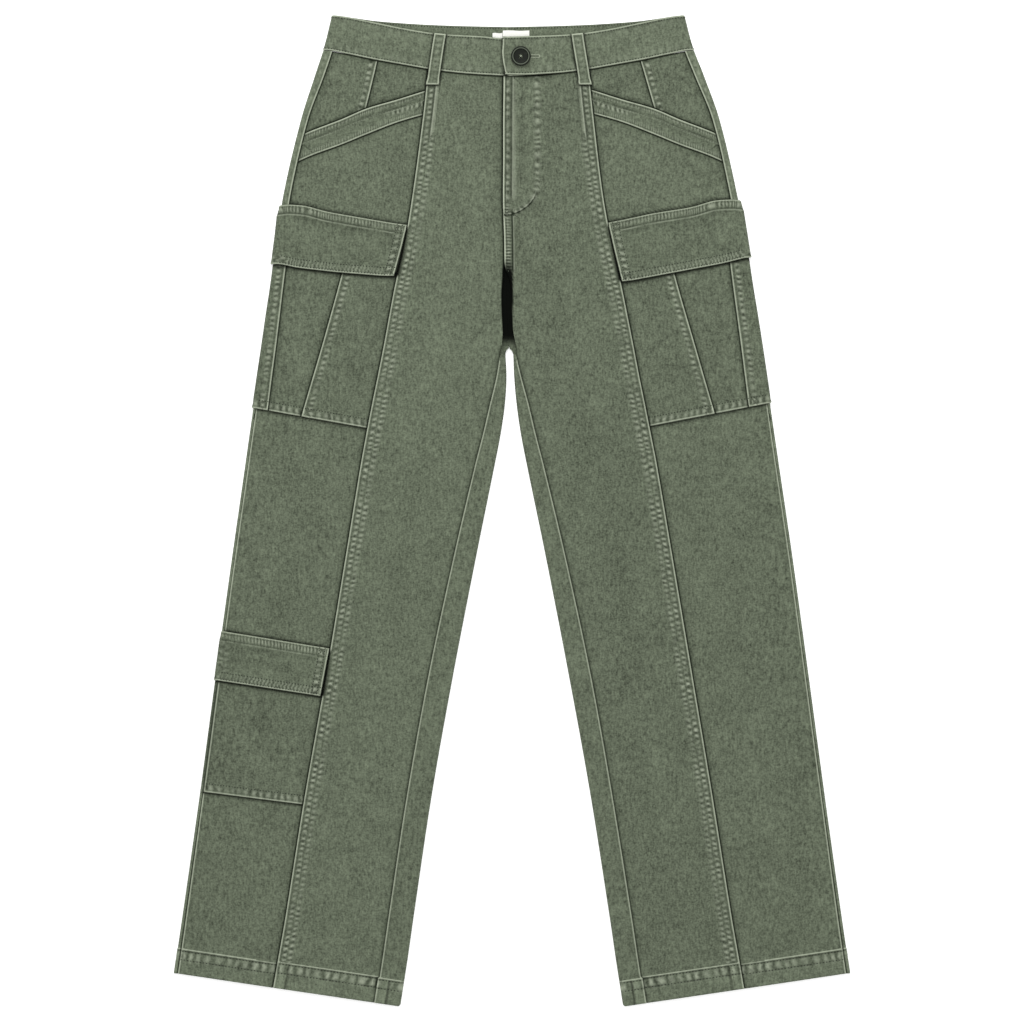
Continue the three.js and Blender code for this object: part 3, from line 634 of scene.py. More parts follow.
class Sewing:
    """Adds up what the borders of a piece do to its surface.

    The finish reads the values that SHOWN names from the piece's points.
    """

    SHOWN = ("lap", "tuck", "phase", "pucker", "shine", "shade", "groove_shade")

    def __init__(self, shape: tuple[int, ...]) -> None:
        """Starts with plain cloth on a grid of that shape."""
        self.lift = np.zeros(shape)
        self.lap = np.full(shape, 50.0)
        self.tuck = np.full(shape, 50.0)
        self.phase = np.zeros(shape)
        self.pucker = np.zeros(shape)
        self.shine = np.ones(shape)
        self.shade = np.zeros(shape)
        self.groove_shade = np.ones(shape)

    def border(self, distance: Array, along: Array, border: Border, weight: Array | float = 1.0) -> None:
        """Sews one edge.

        Args:
            distance: How far each point is from the edge.
            along: How far along the edge it is.
            border: How the edge is sewn.
            weight: 1 where the border holds and 0 where it doesn't.
        """
        weight = np.broadcast_to(weight, distance.shape)
        away = distance + 60 * (1 - weight)
        if border.rise < 0:
            self.lift += weight * border.rise * bell(distance, 2.2)
            # Strength of the painted shade in the seam where this edge dips under its neighbour
            self.groove_shade = np.where(away < self.tuck, border.shine, self.groove_shade)
            self.tuck = np.minimum(self.tuck, away)
            return
        crest = border.rise * bell(distance - 1.3, 1.5)
        rolled = 0.9 * np.clip(1 - distance / 0.9, 0, 1) ** 2
        self.lift += weight * (crest - rolled)
        nearest = away < self.lap
        self.lap = np.where(nearest, away, self.lap)
        self.shine = np.where(nearest, border.shine, self.shine)
        if border.rows:
            self.rows(distance, along, border, weight)

    def rows(self, distance: Array, along: Array, border: Border, weight: Array | float = 1.0) -> None:
        """Draws the cloth up along rows of stitching."""
        phase = along / border.pitch + 0.13 * WANDER(along, distance * 0.4) + 0.04 * SCATTER(along, distance)
        for inner, outer in zip(border.rows, border.rows[1:]):
            phase = phase + 0.4 * (distance > (inner + outer) / 2)
        uneven = np.clip(0.86 + 0.26 * WANDER(along + 311, distance), 0.3, 1.3)
        strength = np.zeros(distance.shape)
        for number, row in enumerate(border.rows):
            fading = 1.0 if number == 0 else 0.8
            strength += fading * bell(distance - row, border.spread)
        self.draw_up(strength * border.pucker * uneven * weight, phase)

    def draw_up(self, strength: Array, phase: Array | float) -> None:
        """Puckers the cloth where that is stronger than what is there already.

        Args:
            strength: Strength of the pucker, up to 1.
            phase: Where on its wave each point lies, in turns.
        """
        stronger = strength > self.pucker
        self.phase = np.where(stronger, phase, self.phase)
        self.pucker = np.maximum(self.pucker, strength)

    def shadow(self, strength: Array) -> None:
        """Paints shade into the cloth's colour where it isn't darker already; 1 is black."""
        self.shade = np.maximum(self.shade, strength)

    def darken(self, beyond: Array, width: float, strength: float) -> None:
        """Paints the shadow that a piece lying on the cloth casts beside it.

        Args:
            beyond: Distance from that piece's edge, negative under it.
            width: How far the darkness reaches.
            strength: 1 for black.
        """
        self.shadow(strength * bell(np.maximum(beyond, 0), width) * (beyond > -4))

    def crease(self, beyond: Array, weight: Array | float, shine: float, depth: float) -> None:
        """Presses a crease into the cloth: fading and painted highlight just past it, painted shade just
        before it.

        Args:
            beyond: Signed distance past the crease.
            weight: 1 where the crease holds and 0 where it doesn't.
            shine: Strength of the pale line of fading and painted highlight.
            depth: Strength of the line of painted shade.
        """
        weight = np.broadcast_to(weight, beyond.shape)
        holds = weight > 0.02
        nearest = holds & (np.abs(beyond) < np.abs(self.lap))
        self.lap = np.where(nearest, beyond, self.lap)
        self.shine = np.where(nearest, shine * weight, self.shine)
        nearest = holds & (np.abs(beyond) < np.abs(self.tuck))
        self.tuck = np.where(nearest, -beyond, self.tuck)
        self.groove_shade = np.where(nearest, depth * weight, self.groove_shade)
        self.lift += weight * 0.25 * (bell(beyond - 1.2, 1.4) - bell(beyond + 0.6, 1.2))

    def ridge(self, distance: Array, width: float, strength: Array | float) -> None:
        """Raises a soft ridge, paler with fading and a painted highlight.

        Args:
            distance: Distance from its crest.
            width: Half its width.
            strength: Its strength, up to 1.
        """
        self.draw_up(strength * bell(distance, width), 0.0)

    def turn_up(self, distance: Array, along: Array, hem: tuple[float, ...]) -> None:
        """Turns the hem up inside: a doubled, roped band below its ridge.

        Args:
            distance: How far each point is from the foot.
            along: How far along the foot it is.
            hem: Distances of the ridge and of the rows of stitches from the foot.
        """
        depth = hem[0]
        inside = ease((depth + 0.8 - distance) / 1.6)
        rolled_edge = 0.9 * np.clip(1 - distance / 1.4, 0, 1) ** 2
        self.lift += 0.75 * inside + 0.3 * bell(distance - depth + 0.6, 1.3) - rolled_edge
        self.pucker = self.pucker * (1 - inside)
        for row in hem[1:]:
            self.lift -= 0.3 * bell(distance - row, 1.0)
            uneven = np.clip(0.26 + 0.2 * WANDER(along, distance * 0.2 + row), 0.05, 0.5)
            # Painted shade along each sunk row of stitches
            self.shadow(uneven * bell(distance - row, 0.9))
        # A pale line of fading and painted highlight along the hem's ridge
        ridge = np.where(distance < depth + 0.8, depth + 0.8 - distance, 50.0)
        nearest = ridge < self.lap
        self.lap = np.where(nearest, ridge, self.lap)
        self.shine = np.where(nearest, 0.85, self.shine)
        roping = Border(rise=0.0, rows=(sum(hem[1:]) / 2,), pitch=9.6, pucker=0.8, spread=4.6)
        self.rows(distance, along + 0.25 * distance, roping)

    def pucker_lift(self) -> Array:
        """Height of the puckers."""
        return 0.34 * self.pucker * np.cos(2 * np.pi * self.phase)


class Thread:
    """Rows of short stitches that are joined into one mesh."""

    def __init__(self, thickness: float = 0.55, share: float = 0.77) -> None:
        """Starts with no stitches.

        Args:
            thickness: Thickness of the thread.
            share: Length of a stitch as a share of the pitch.
        """
        self.thickness = thickness
        self.share = share
        self.starts: list[Array] = []
        self.ends: list[Array] = []

    def stitch(self, start: Array, end: Array) -> None:
        """Adds one stitch between two points."""
        self.starts.append(start[None])
        self.ends.append(end[None])

    def run(self, path: Array, pitch: float = 3.0) -> None:
        """Sews along a path.

        Args:
            path: Points of the path, one row each.
            pitch: Distance from one stitch to the next.
        """
        travelled = np.r_[0, np.cumsum(np.linalg.norm(np.diff(path, axis=0), axis=1))]
        if travelled[-1] < pitch:
            return
        begin = np.arange(0.4, travelled[-1] - self.share * pitch, pitch)
        for offset, store in ((0.0, self.starts), (self.share * pitch, self.ends)):
            at = begin + offset
            store.append(np.stack([np.interp(at, travelled, path[:, k]) for k in range(3)], axis=-1))

    def build(self, name: str) -> bpy.types.Object:
        """Makes the mesh.

        Args:
            name: Name of the piece.

        Returns:
            The stitches as one object.
        """
        bpy.ops.object.select_all(action="DESELECT")
        bpy.ops.mesh.primitive_ico_sphere_add(subdivisions=1, radius=1.0)
        bead = bpy.context.active_object
        corners = np.array([v.co for v in bead.data.vertices])
        faces = np.array([list(p.vertices) for p in bead.data.polygons])
        start = np.concatenate(self.starts)
        end = np.concatenate(self.ends)
        middle = (start + end) / 2
        run = (end - start) / 2
        length = np.linalg.norm(run, axis=1, keepdims=True)
        forward = run / length
        across = np.cross(UP, forward)
        across /= np.maximum(np.linalg.norm(across, axis=1, keepdims=True), 1e-6)
        upward = np.cross(forward, across)
        half = self.thickness / 2
        points = (
            middle[:, None, :]
            + corners[None, :, 0:1] * run[:, None, :]
            + corners[None, :, 1:2] * half * across[:, None, :]
            + corners[None, :, 2:3] * half * upward[:, None, :]
        )
        index = faces[None] + (np.arange(len(start)) * len(corners))[:, None, None]
        mesh = bpy.data.meshes.new(name)
        mesh.from_pydata((points.reshape(-1, 3) * MM).tolist(), [], index.reshape(-1, 3).tolist())
        mesh.polygons.foreach_set("use_smooth", [True] * len(mesh.polygons))
        bpy.data.objects.remove(bead)
        stitches = bpy.data.objects.new(name, mesh)
        bpy.context.scene.collection.objects.link(stitches)
        return stitches


def graded(length: float, step: float, fine_start: bool = True, fine_end: bool = True) -> Array:
    """Shares of a length, close together near sewn ends and even between them.

    Args:
        length: The length.
        step: Spacing away from the ends.
        fine_start: Whether the start is sewn.
        fine_end: Whether the end is sewn.

    Returns:
        Rising shares from 0 to 1.
    """
    near = np.array([0, 0.45, 1.0, 1.7, 2.6, 3.7, 4.9, 6.2, 7.5, 8.8, 10.1, 11.5, 13.0])
    near = near[near < length * 0.42]
    head = near if fine_start else np.array([0.0])
    tail = length - near[::-1] if fine_end else np.array([length])
    count = max(1, int(math.ceil((tail[0] - head[-1]) / step)))
    middle = np.linspace(head[-1], tail[0], count + 1)[1:-1]
    return np.concatenate([head, middle, tail]) / length


def with_hem(down: Array, length: float, depth: float) -> Array:
    """Puts closer shares of a length where the hem's ridge and stitches lie."""
    band = 1 - np.arange(14, depth + 5, 0.9) / length
    above = down[down < band.min() - 0.5 / length]
    return np.unique(np.concatenate([above, band, down[down > 1 - 13.4 / length]]))


class Signal:
    """A shader socket that can be used in Python sums; each one adds its Math node."""

    def __init__(self, graph: "Graph", socket: bpy.types.NodeSocket) -> None:
        """Wraps a socket of a graph."""
        self.graph = graph
        self.socket = socket

    def math(self, operation: str, *values: "Signal | float", clamp: bool = False) -> "Signal":
        """Adds a Math node.

        Args:
            operation: The node's operation.
            values: Its inputs in order.
            clamp: Whether its result is held between 0 and 1.

        Returns:
            The result.
        """
        node = self.graph.node("ShaderNodeMath", {"operation": operation, "use_clamp": clamp})
        for socket, value in zip(node.inputs, values):
            self.graph.feed(socket, value)
        return Signal(self.graph, node.outputs[0])

    def __add__(self, other: "Signal | float") -> "Signal":
        """Sum."""
        return self.math("ADD", self, other)

    def __sub__(self, other: "Signal | float") -> "Signal":
        """Difference."""
        return self.math("SUBTRACT", self, other)

    def __rsub__(self, other: float) -> "Signal":
        """Difference from a number."""
        return self.math("SUBTRACT", other, self)

    def __mul__(self, other: "Signal | float") -> "Signal":
        """Product."""
        return self.math("MULTIPLY", self, other)

    def __truediv__(self, other: "Signal | float") -> "Signal":
        """Quotient."""
        return self.math("DIVIDE", self, other)

    def __pow__(self, other: "Signal | float") -> "Signal":
        """Power."""
        return self.math("POWER", self, other)

    __radd__ = __add__
    __rmul__ = __mul__

    def held(self) -> "Signal":
        """The value held between 0 and 1."""
        return self.math("ADD", self, 0.0, clamp=True)

    def bell(self, centre: float, width: float) -> "Signal":
        """A soft bump that is 1 where the value is at the centre."""
        scaled = (self - centre) / width
        return self.math("EXPONENT", (scaled * scaled) * -1.0)

    def cosine(self) -> "Signal":
        """Cosine of the value."""
        return self.math("COSINE", self)

    def step(self, low: float, high: float) -> "Signal":
        """Rises smoothly from 0 at low to 1 at high."""
        node = self.graph.node(
            "ShaderNodeMapRange",
            {"interpolation_type": "SMOOTHSTEP"},
            {"Value": self, "From Min": low, "From Max": high, "To Min": 0.0, "To Max": 1.0},
        )
        return Signal(self.graph, node.outputs[0])


class Graph:
    """The node graph of one material."""

    def __init__(self, name: str) -> None:
        """Makes a material with only a Principled shader in it."""
        self.material = bpy.data.materials.new(name)
        self.material.use_nodes = True
        self.tree = self.material.node_tree
        self.tree.nodes.clear()
        self.shader = self.node("ShaderNodeBsdfPrincipled")
        output = self.node("ShaderNodeOutputMaterial")
        self.tree.links.new(self.shader.outputs[0], output.inputs["Surface"])

    def node(
        self, kind: str, settings: dict[str, object] | None = None, inputs: dict[str, object] | None = None
    ) -> bpy.types.Node:
        """Adds a node.

        Args:
            kind: The node's type.
            settings: Its settings, set first.
            inputs: Values or links of its sockets, by name or identifier.

        Returns:
            The node.
        """
        node = self.tree.nodes.new(kind)
        for key, value in (settings or {}).items():
            setattr(node, key, value)
        for key, value in (inputs or {}).items():
            socket = next(s for s in node.inputs if key in (s.identifier, s.name) and s.enabled)
            self.feed(socket, value)
        return node

    def feed(self, socket: bpy.types.NodeSocket, value: object) -> None:
        """Links a signal to a socket, or sets the socket's own value."""
        if isinstance(value, Signal):
            self.tree.links.new(value.socket, socket)
        else:
            socket.default_value = value

    def place(self) -> Signal:
        """The object's own coordinates."""
        return Signal(self, self.node("ShaderNodeTexCoord").outputs["Object"])

    def attribute(self, name: str) -> Signal:
        """A value that the mesh carries at its points."""
        return Signal(self, self.node("ShaderNodeAttribute", {"attribute_name": name}).outputs["Fac"])

    def noise(self, at: Signal, size: float, detail: float = 3.0, rough: float = 0.55) -> Signal:
        """Cloudy noise from 0 to 1.

        Args:
            at: Where it is read.
            size: Size of its clouds in millimetres.
            detail: Number of finer layers.
            rough: Strength of the finer layers.

        Returns:
            The noise.
        """
        inputs = {"Vector": at, "Scale": 1 / (size * MM), "Detail": detail, "Roughness": rough}
        return Signal(self, self.node("ShaderNodeTexNoise", None, inputs).outputs[0])

    def stretched(self, at: Signal, scale: tuple[float, float, float], turn: float = 0.0) -> Signal:
        """Coordinates that are turned about Z and stretched."""
        inputs = {"Vector": at, "Scale": scale, "Rotation": (0.0, 0.0, turn)}
        return Signal(self, self.node("ShaderNodeMapping", None, inputs).outputs[0])

    def blend(self, amount: Signal | float, a: object, b: object) -> Signal:
        """Mixes two colours."""
        settings = {"data_type": "RGBA", "clamp_factor": True}
        inputs = {"Factor_Float": amount, "A_Color": a, "B_Color": b}
        node = self.node("ShaderNodeMix", settings, inputs)
        return Signal(self, next(s for s in node.outputs if s.identifier == "Result_Color"))

    def tinted(self, colour: Signal, tone: Signal) -> Signal:
        """Scales a colour by a number."""
        node = self.node("ShaderNodeVectorMath", {"operation": "SCALE"}, {"Vector": colour, "Scale": tone})
        return Signal(self, node.outputs[0])

    def dyed(self, colour: tuple[int, int, int], tone: Signal) -> Signal:
        """A plain display colour scaled by a number."""
        plain = linear(*colour)
        return self.tinted(self.blend(0.0, plain, plain), tone)

    def relief(self, height: Signal, depth: float, strength: float) -> Signal:
        """The shader's normal on a fine relief.

        Args:
            height: Height of the relief from 0 to 1.
            depth: Its depth in millimetres.
            strength: How strongly it shows.

        Returns:
            The normal.
        """
        inputs = {"Strength": strength, "Distance": depth * MM, "Height": height}
        return Signal(self, self.node("ShaderNodeBump", None, inputs).outputs[0])

    def finished(self, sockets: dict[str, object]) -> bpy.types.Material:
        """Feeds the shader's sockets, given by name, and hands over the material."""
        for name, value in sockets.items():
            self.feed(self.shader.inputs[name], value)
        return self.material


def linear(red: int, green: int, blue: int) -> tuple[float, float, float, float]:
    """A display colour from 0 to 255 as the linear colour that a shader takes."""
    channels = [c / 255 for c in (red, green, blue)]
    return (*[c / 12.92 if c <= 0.04045 else ((c + 0.055) / 1.055) ** 2.4 for c in channels], 1.0)


@dataclass(frozen=True)
class WashedTwill:
    """Garment-washed cotton twill, paler on raised edges and puckers, with painted shade in the seams."""

    name: str = "washed_twill"
    cloth: tuple[int, int, int] = (96, 104, 87)
    # Pale colour of wash fading and painted highlight on raised edges and pucker tops
    worn: tuple[int, int, int] = (176, 184, 163)
    # Colour of the painted shade in tucked seams and pucker troughs
    shade_colour: tuple[int, int, int] = (30, 36, 26)
    # Colour that the painted shade blends to
    black: tuple[int, int, int] = (6, 8, 5)
    tone: float = 1.01
    twill_pitch: float = 0.9
    roughness: float = 0.92

    def build(self) -> bpy.types.Material:
        """Makes the material."""
        g = Graph(self.name)
        at = g.place()
        lap = g.attribute("lap")
        tuck = g.attribute("tuck")
        pucker = g.attribute("pucker")
        shine = g.attribute("shine")
        # Panel tone and wash fading, with painted light and shade on the creases
        wear_and_shading = g.attribute("wear_and_shading")
        clouds = g.noise(at, 26, 3.0)
        mottle = g.noise(at, 6.0, 4.0, 0.65)
        slub = g.noise(g.stretched(at, (1.0, 0.3, 1.0)), 2.2, 3.0, 0.6)
        speck = g.noise(at, 2.1, 3.0, 0.7)
        jitter = g.noise(at, 3.4, 2.0)

        swing = (g.attribute("phase") + (jitter - 0.5) * 0.45) * (2 * math.pi)
        wave = swing.cosine()
        blob = wave * 0.5 + 0.5
        trough = (0.5 - wave * 0.5) ** 1.3
        # Pucker tops are paler with wash fading and a painted highlight, and their troughs get painted shade
        raised = blob * pucker * (jitter.step(0.25, 0.6) * 0.35 + 0.65)
        sunk = trough * pucker

        # A pale line of wash fading and painted highlight on raised edges; painted shade past it and where
        # edges tuck under
        edge_fade_and_highlight = lap.bell(0.85, 0.72) * shine * (mottle.step(0.2, 0.6) * 0.3 + 0.7)
        shade_below_edge = lap.bell(2.7, 0.9) * shine * 0.2
        groove_shade = tuck.bell(0.25, 1.05) * g.attribute("groove_shade")
        halo_shade = tuck.bell(1.8, 3.0) * g.attribute("groove_shade") * 0.2

        tone = (
            1.0
            + (clouds - 0.5) * 0.42
            + (mottle - 0.5) * 0.85
            + (slub - 0.5) * 1.2
            + (speck - 0.5) * 1.9
            + wear_and_shading * 0.4
        )
        colour = g.dyed(self.cloth, tone * self.tone)
        # light mixes wash fading with painted highlight, and dark is painted shade
        light = (edge_fade_and_highlight * 0.86 + raised * 0.62).held()
        dark = (groove_shade * 0.9 + halo_shade + sunk * 0.55 + shade_below_edge).held()
        colour = g.blend(light, colour, linear(*self.worn))
        colour = g.blend(dark, colour, linear(*self.shade_colour))
        # Painted shade from the mesh's shade attribute, up to black, in the crotch hollow and beside pieces
        # that lie over the cloth
        colour = g.blend(g.attribute("shade"), colour, linear(*self.black))

        wale = g.stretched(at, (1.0, 1.0, 1.0), math.radians(27))
        bands = g.node(
            "ShaderNodeTexWave",
            {"wave_type": "BANDS", "bands_direction": "X", "wave_profile": "SIN"},
            {"Vector": wale, "Scale": 0.31 / (self.twill_pitch * MM), "Distortion": 1.5, "Detail": 1.0},
        )
        ribs = Signal(g, bands.outputs[0])
        height = (
            ribs * 0.06 + speck * 0.45 + slub * 0.3 + mottle * 0.35 + wave * pucker * 0.4
            + lap.bell(0.9, 0.9) * 0.25 - tuck.bell(0.0, 1.3) * 0.7
        )
        return g.finished({
            "Base Color": colour, "Normal": g.relief(height, 1.0, 0.75),
            "Roughness": (self.roughness - raised * 0.08).held(), "Specular IOR Level": 0.08,
        })


@dataclass(frozen=True)
class SewingThread:
    """Matt polyester-cotton thread, close to the cloth in colour."""

    name: str = "sewing_thread"
    colour: tuple[int, int, int] = (72, 80, 63)
    roughness: float = 0.8

    def build(self) -> bpy.types.Material:
        """Makes the material."""
        g = Graph(self.name)
        at = g.place()
        speck = g.noise(at, 1.1, 2.0)
        patch = g.noise(at, 9.0, 2.0)
        return g.finished({
            "Base Color": g.dyed(self.colour, 0.75 + speck * 0.3 + patch * 0.5),
            "Normal": g.relief(speck, 0.2, 0.5), "Roughness": self.roughness,
        })


@dataclass(frozen=True)
class MouldedButton:
    """Dark moulded resin with a soft sheen, a painted highlight round its rim and a few scuffed pale patches.
    """

    name: str = "moulded_button"
    colour: tuple[int, int, int] = (18, 22, 15)
    rubbed: tuple[int, int, int] = (112, 120, 104)
    # Radius of the painted highlight round the rim
    ring: float = 8.4
    roughness: float = 0.5

    def build(self) -> bpy.types.Material:
        """Makes the material."""
        g = Graph(self.name)
        at = g.place()
        cloud = g.noise(at, 4.0, 3.0)
        speck = g.noise(at, 0.8, 2.0)
        # A painted highlight in a ring round the rim, and scuffed pale patches at random
        rubbed = (g.attribute("radius").bell(self.ring, 0.42) * 0.7 + cloud.step(0.55, 0.8) * 0.08).held()
        colour = g.blend(rubbed, linear(*self.colour), linear(*self.rubbed))
        return g.finished({
            "Base Color": g.tinted(colour, 0.85 + speck * 0.3), "Normal": g.relief(speck, 0.1, 0.3),
            "Roughness": self.roughness + cloud * 0.12, "Specular IOR Level": 0.15,
        })


@dataclass(frozen=True)
class LabelCloth:
    """Plain white woven tape."""

    name: str = "label_cloth"
    colour: tuple[int, int, int] = (238, 238, 232)

    def build(self) -> bpy.types.Material:
        """Makes the material."""
        g = Graph(self.name)
        at = g.place()
        weft = g.noise(g.stretched(at, (0.3, 1.0, 1.0)), 0.9, 2.0)
        cloud = g.noise(at, 7.0, 2.0)
        return g.finished({
            "Base Color": g.dyed(self.colour, 0.86 + weft * 0.16 + cloud * 0.1),
            "Normal": g.relief(weft, 0.3, 0.5), "Roughness": 0.85,
        })


class Wardrobe:
    """The finishes of the garment, made once."""

    def __init__(self) -> None:
        """Makes all the materials."""
        self.twill = WashedTwill().build()
        self.inside = WashedTwill(name="washed_twill_inside", tone=0.97).build()
        self.thread = SewingThread().build()
        self.dark_thread = SewingThread(name="sewing_thread_dark", colour=(27, 33, 22)).build()
        self.pale_thread = SewingThread(name="sewing_thread_pale", colour=(150, 158, 138)).build()
        self.button = MouldedButton().build()
        self.label = LabelCloth().build()


@dataclass
class Shell:
    """A sheet of cloth on a grid: its points, what its sewing does, and its wall."""

    name: str
    side: Side
    points: Array
    sewing: Sewing
    wall: float
    wear_and_shading: Array | float = 0.0
    held: str = "laid"

    def build(
        self, material: bpy.types.Material, nodes: Sequence[str], rests_on: Sequence[str],
        stitches: Sequence[bpy.types.Object] = (), slot: str = "twill",
    ) -> None:
        """Args:
            material: Its finish.
            nodes: The solids that it stands for.
            rests_on: Names of what it lies on; not used.
            stitches: Pieces that are sewn on it; not used.
            slot: The record's material slot; not used.
        """
        rows, columns = self.points.shape[:2]
        bpy.ops.object.select_all(action="DESELECT")
        bpy.ops.mesh.primitive_grid_add(x_subdivisions=columns - 1, y_subdivisions=rows - 1, size=1.0)
        piece = bpy.context.active_object
        piece.name = self.name
        mesh = piece.data
        mesh.name = self.name
        mesh.vertices.foreach_set("co", (self.points * MM).reshape(-1).astype(np.float32))
        values = {name: getattr(self.sewing, name) for name in Sewing.SHOWN}
        # Panel tone and fading, with painted light on the creases' ridges and painted shade in their troughs
        values["wear_and_shading"] = self.wear_and_shading + FOLD_SHADING * creasing(self.points[..., 0], self.points[..., 1])
        for name, value in values.items():
            layer = mesh.attributes.new(name, "FLOAT", "POINT")
            layer.data.foreach_set("value", np.ascontiguousarray(value, np.float32).reshape(-1))
        if self.side is Side.LEFT:
            mesh.flip_normals()
        mesh.update()
        wall = piece.modifiers.new("wall", "SOLIDIFY")
        wall.thickness = self.wall * MM
        wall.offset = -1.0
        bpy.ops.object.modifier_apply(modifier=wall.name)
        bpy.ops.object.shade_smooth_by_angle(angle=math.radians(60))
        mesh.materials.clear()
        mesh.materials.append(material)
        for name in nodes:
            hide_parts(name)
        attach(piece, "root")
        width, length, area = self.cut()
        triangles = sum(len(p.vertices) - 2 for p in mesh.polygons)
        logging.info("%s: %d triangles, cut %.0f x %.0f mm, %.4f m2", self.name, triangles,
                     1000 * width, 1000 * length, area)

    def cut(self) -> tuple[float, float, float]:
        """The flat size that the piece was cut to.

        Returns:
            Its width and length in metres and its area in square metres.
        """
        across = np.diff(self.points, axis=1)
        down = np.diff(self.points, axis=0)
        width = np.linalg.norm(across, axis=2).sum(axis=1).max()
        length = np.linalg.norm(down, axis=2).sum(axis=0).max()
        cells = np.cross(across[:-1], down[:, :-1])
        other = np.cross(across[1:], down[:, 1:])
        area = (np.linalg.norm(cells, axis=2).sum() + np.linalg.norm(other, axis=2).sum()) / 2
        return width * MM, length * MM, min(area, width * length) * MM * MM


@dataclass
class Panel:
    """A piece of cloth that lies on the garment's skin between four curved edges."""

    name: str
    side: Side
    left: Curve
    right: Curve
    top: Curve
    foot: Curve
    borders: list[tuple[Face, Border]] = field(default_factory=list)
    wall: float = TWILL_WALL
    base_lift: Callable[[Array], Array | float] | None = None
    step_across: float = 4.2
    step_down: float = 1.9
    wrap: float = 0.0
    hem: tuple[float, ...] = ()
    gap: tuple[bool, bool, bool, bool] = (True, True, True, True)
    extra: Callable[["Panel", Sewing, Array, Array], None] | None = None
    wear_and_shading: float = 0.0
    shadows: list[tuple[CrossLine, int, float, float]] = field(default_factory=list)

    def plan(self, u: Array, v: Array) -> tuple[Array, Array]:
        """Works out where a share of the width and of the length lies.

        Args:
            u: Share of the width; past 1 it goes on round the side fold, in radians.
            v: Share of the length from the top down.

        Returns:
            Distance from the middle line and level.
        """
        u, v = np.broadcast_arrays(u, v)
        half = SEAM_GAP / 2
        left_gap, right_gap, top_gap, foot_gap = (half if g else 0.0 for g in self.gap)
        h = np.full(u.shape, float(self.left(np.array(0.0))))
        y = np.zeros(u.shape)
        for _ in range(PLAN_ROUNDS):
            y = lerp(self.top(h) - top_gap, self.foot(h) + foot_gap, v)
            h = lerp(self.left(y) + left_gap, self.right(y) - right_gap, np.minimum(u, 1))
            h = h + np.maximum(u - 1, 0) * FOLD_RADIUS
        return h, y

    def distances(self, h: Array, y: Array) -> dict[Face, tuple[Array, Array]]:
        """Distance from each edge and the place along it."""
        step = 1.0
        edges = {
            Face.LEFT: (self.left, y, h, 1), Face.RIGHT: (self.right, y, h, -1),
            Face.TOP: (self.top, h, y, -1), Face.FOOT: (self.foot, h, y, 1),
        }
        found = {}
        for face, (edge, along, place, inward) in edges.items():
            lean = (edge(along + step) - edge(along - step)) / (2 * step)
            grow = np.sqrt(1 + lean**2)
            found[face] = (inward * (place - edge(along)) / grow, along * grow)
        return found

    def surface(self, u: Array, v: Array) -> tuple[Array, Sewing, Array, Array]:
        """Points of the outer face with all that its sewing does."""
        h, y = self.plan(u, v)
        sewing = Sewing(h.shape)
        edges = self.distances(h, y)
        for face, border in self.borders:
            distance, along = edges[face]
            sewing.border(distance, along, border, border.weight(y))
        if self.hem:
            sewing.turn_up(*edges[Face.FOOT], self.hem)
        # Painted shadows beside the edges of the pieces that lie over this one
        for line, way, width, strength in self.shadows:
            sewing.darken(way * (y - line(h)) / math.hypot(1, line.rise), width, strength)
        if self.extra:
            self.extra(self, sewing, h, y)
        lift = sewing.lift + sewing.pucker_lift()
        if self.base_lift:
            lift = lift + self.base_lift(v)
        return skin(self.side, h, y, lift), sewing, h, y

    def sew(self, thread: Thread, dark: Thread) -> None:
        """Runs the rows of stitches along the edges that have them."""
        fine = np.linspace(0.004, 0.996, 420)
        for face, border in self.borders:
            for away in border.threads:
                (dark if border.dark else thread).run(self.row(face, away, border, fine))
        for away in self.hem[1:]:
            dark.run(self.row(Face.FOOT, away, HEM_FOLD, fine), pitch=HEM_STITCH_PITCH)

    def row(self, face: Face, away: float, border: Border, fine: Array) -> Array:
        """Points of a row of stitches at a distance from an edge."""
        share = np.full(fine.shape, 0.02)
        for _ in range(ROW_ROUNDS):
            u, v = {
                Face.LEFT: (share, fine), Face.RIGHT: (1 - share, fine),
                Face.TOP: (fine, share), Face.FOOT: (fine, 1 - share),
            }[face]
            h, y = self.plan(u, v)
            distance, _along = self.distances(h, y)[face]
            share = share * away / np.maximum(distance, 1e-3)
        points, _sewing, _h, y = self.surface(u, v)
        keep = (border.weight(y) > 0.5) & (share < 0.6)
        return (points + PANEL_STITCH_RISE * UP)[keep]

    def shell(self) -> Shell:
        """Lays the grid of points that the piece is made from."""
        leg_middle = np.array(150.0)
        level = 0.5 * (self.top(leg_middle) + self.foot(leg_middle))
        left = float(self.left(level))
        right = float(self.right(level))
        middle = np.array((left + right) / 2)
        length = float(self.top(middle) - self.foot(middle))
        across = graded(right - left, self.step_across)
        if self.wrap:
            across = np.r_[across, 1 + np.linspace(0, self.wrap, 9)[1:]]
        down = graded(length, self.step_down)
        if self.hem:
            down = with_hem(down, length, self.hem[0])
        u, v = np.meshgrid(across, down)
        points, sewing, h, y = self.surface(u, v)
        wear_and_shading = self.wear_and_shading
        if self.hem:
            turned_up = ease((self.hem[0] - y + self.foot(h)) / 2)
            at_seam = ease((HEM_PATCH - np.abs(h - front_seam[self.side](y))) / 1.5)
            wear_and_shading = wear_and_shading + turned_up * (0.28 + 0.7 * at_seam * (self.name.startswith("front")))
        return Shell(self.name, self.side, points, sewing, self.wall, wear_and_shading)


def fly_reach(y: Array) -> Array:
    """The fly's curved stitching line: straight from the waist, then a quarter curve in to the seam."""
    share = np.clip((FLY_TOP_OF_CURVE - y) / (FLY_TOP_OF_CURVE - FLY_FOOT), 0, 1)
    return FLY_EDGE + FLY_WIDTH * np.sqrt(1 - share * share)


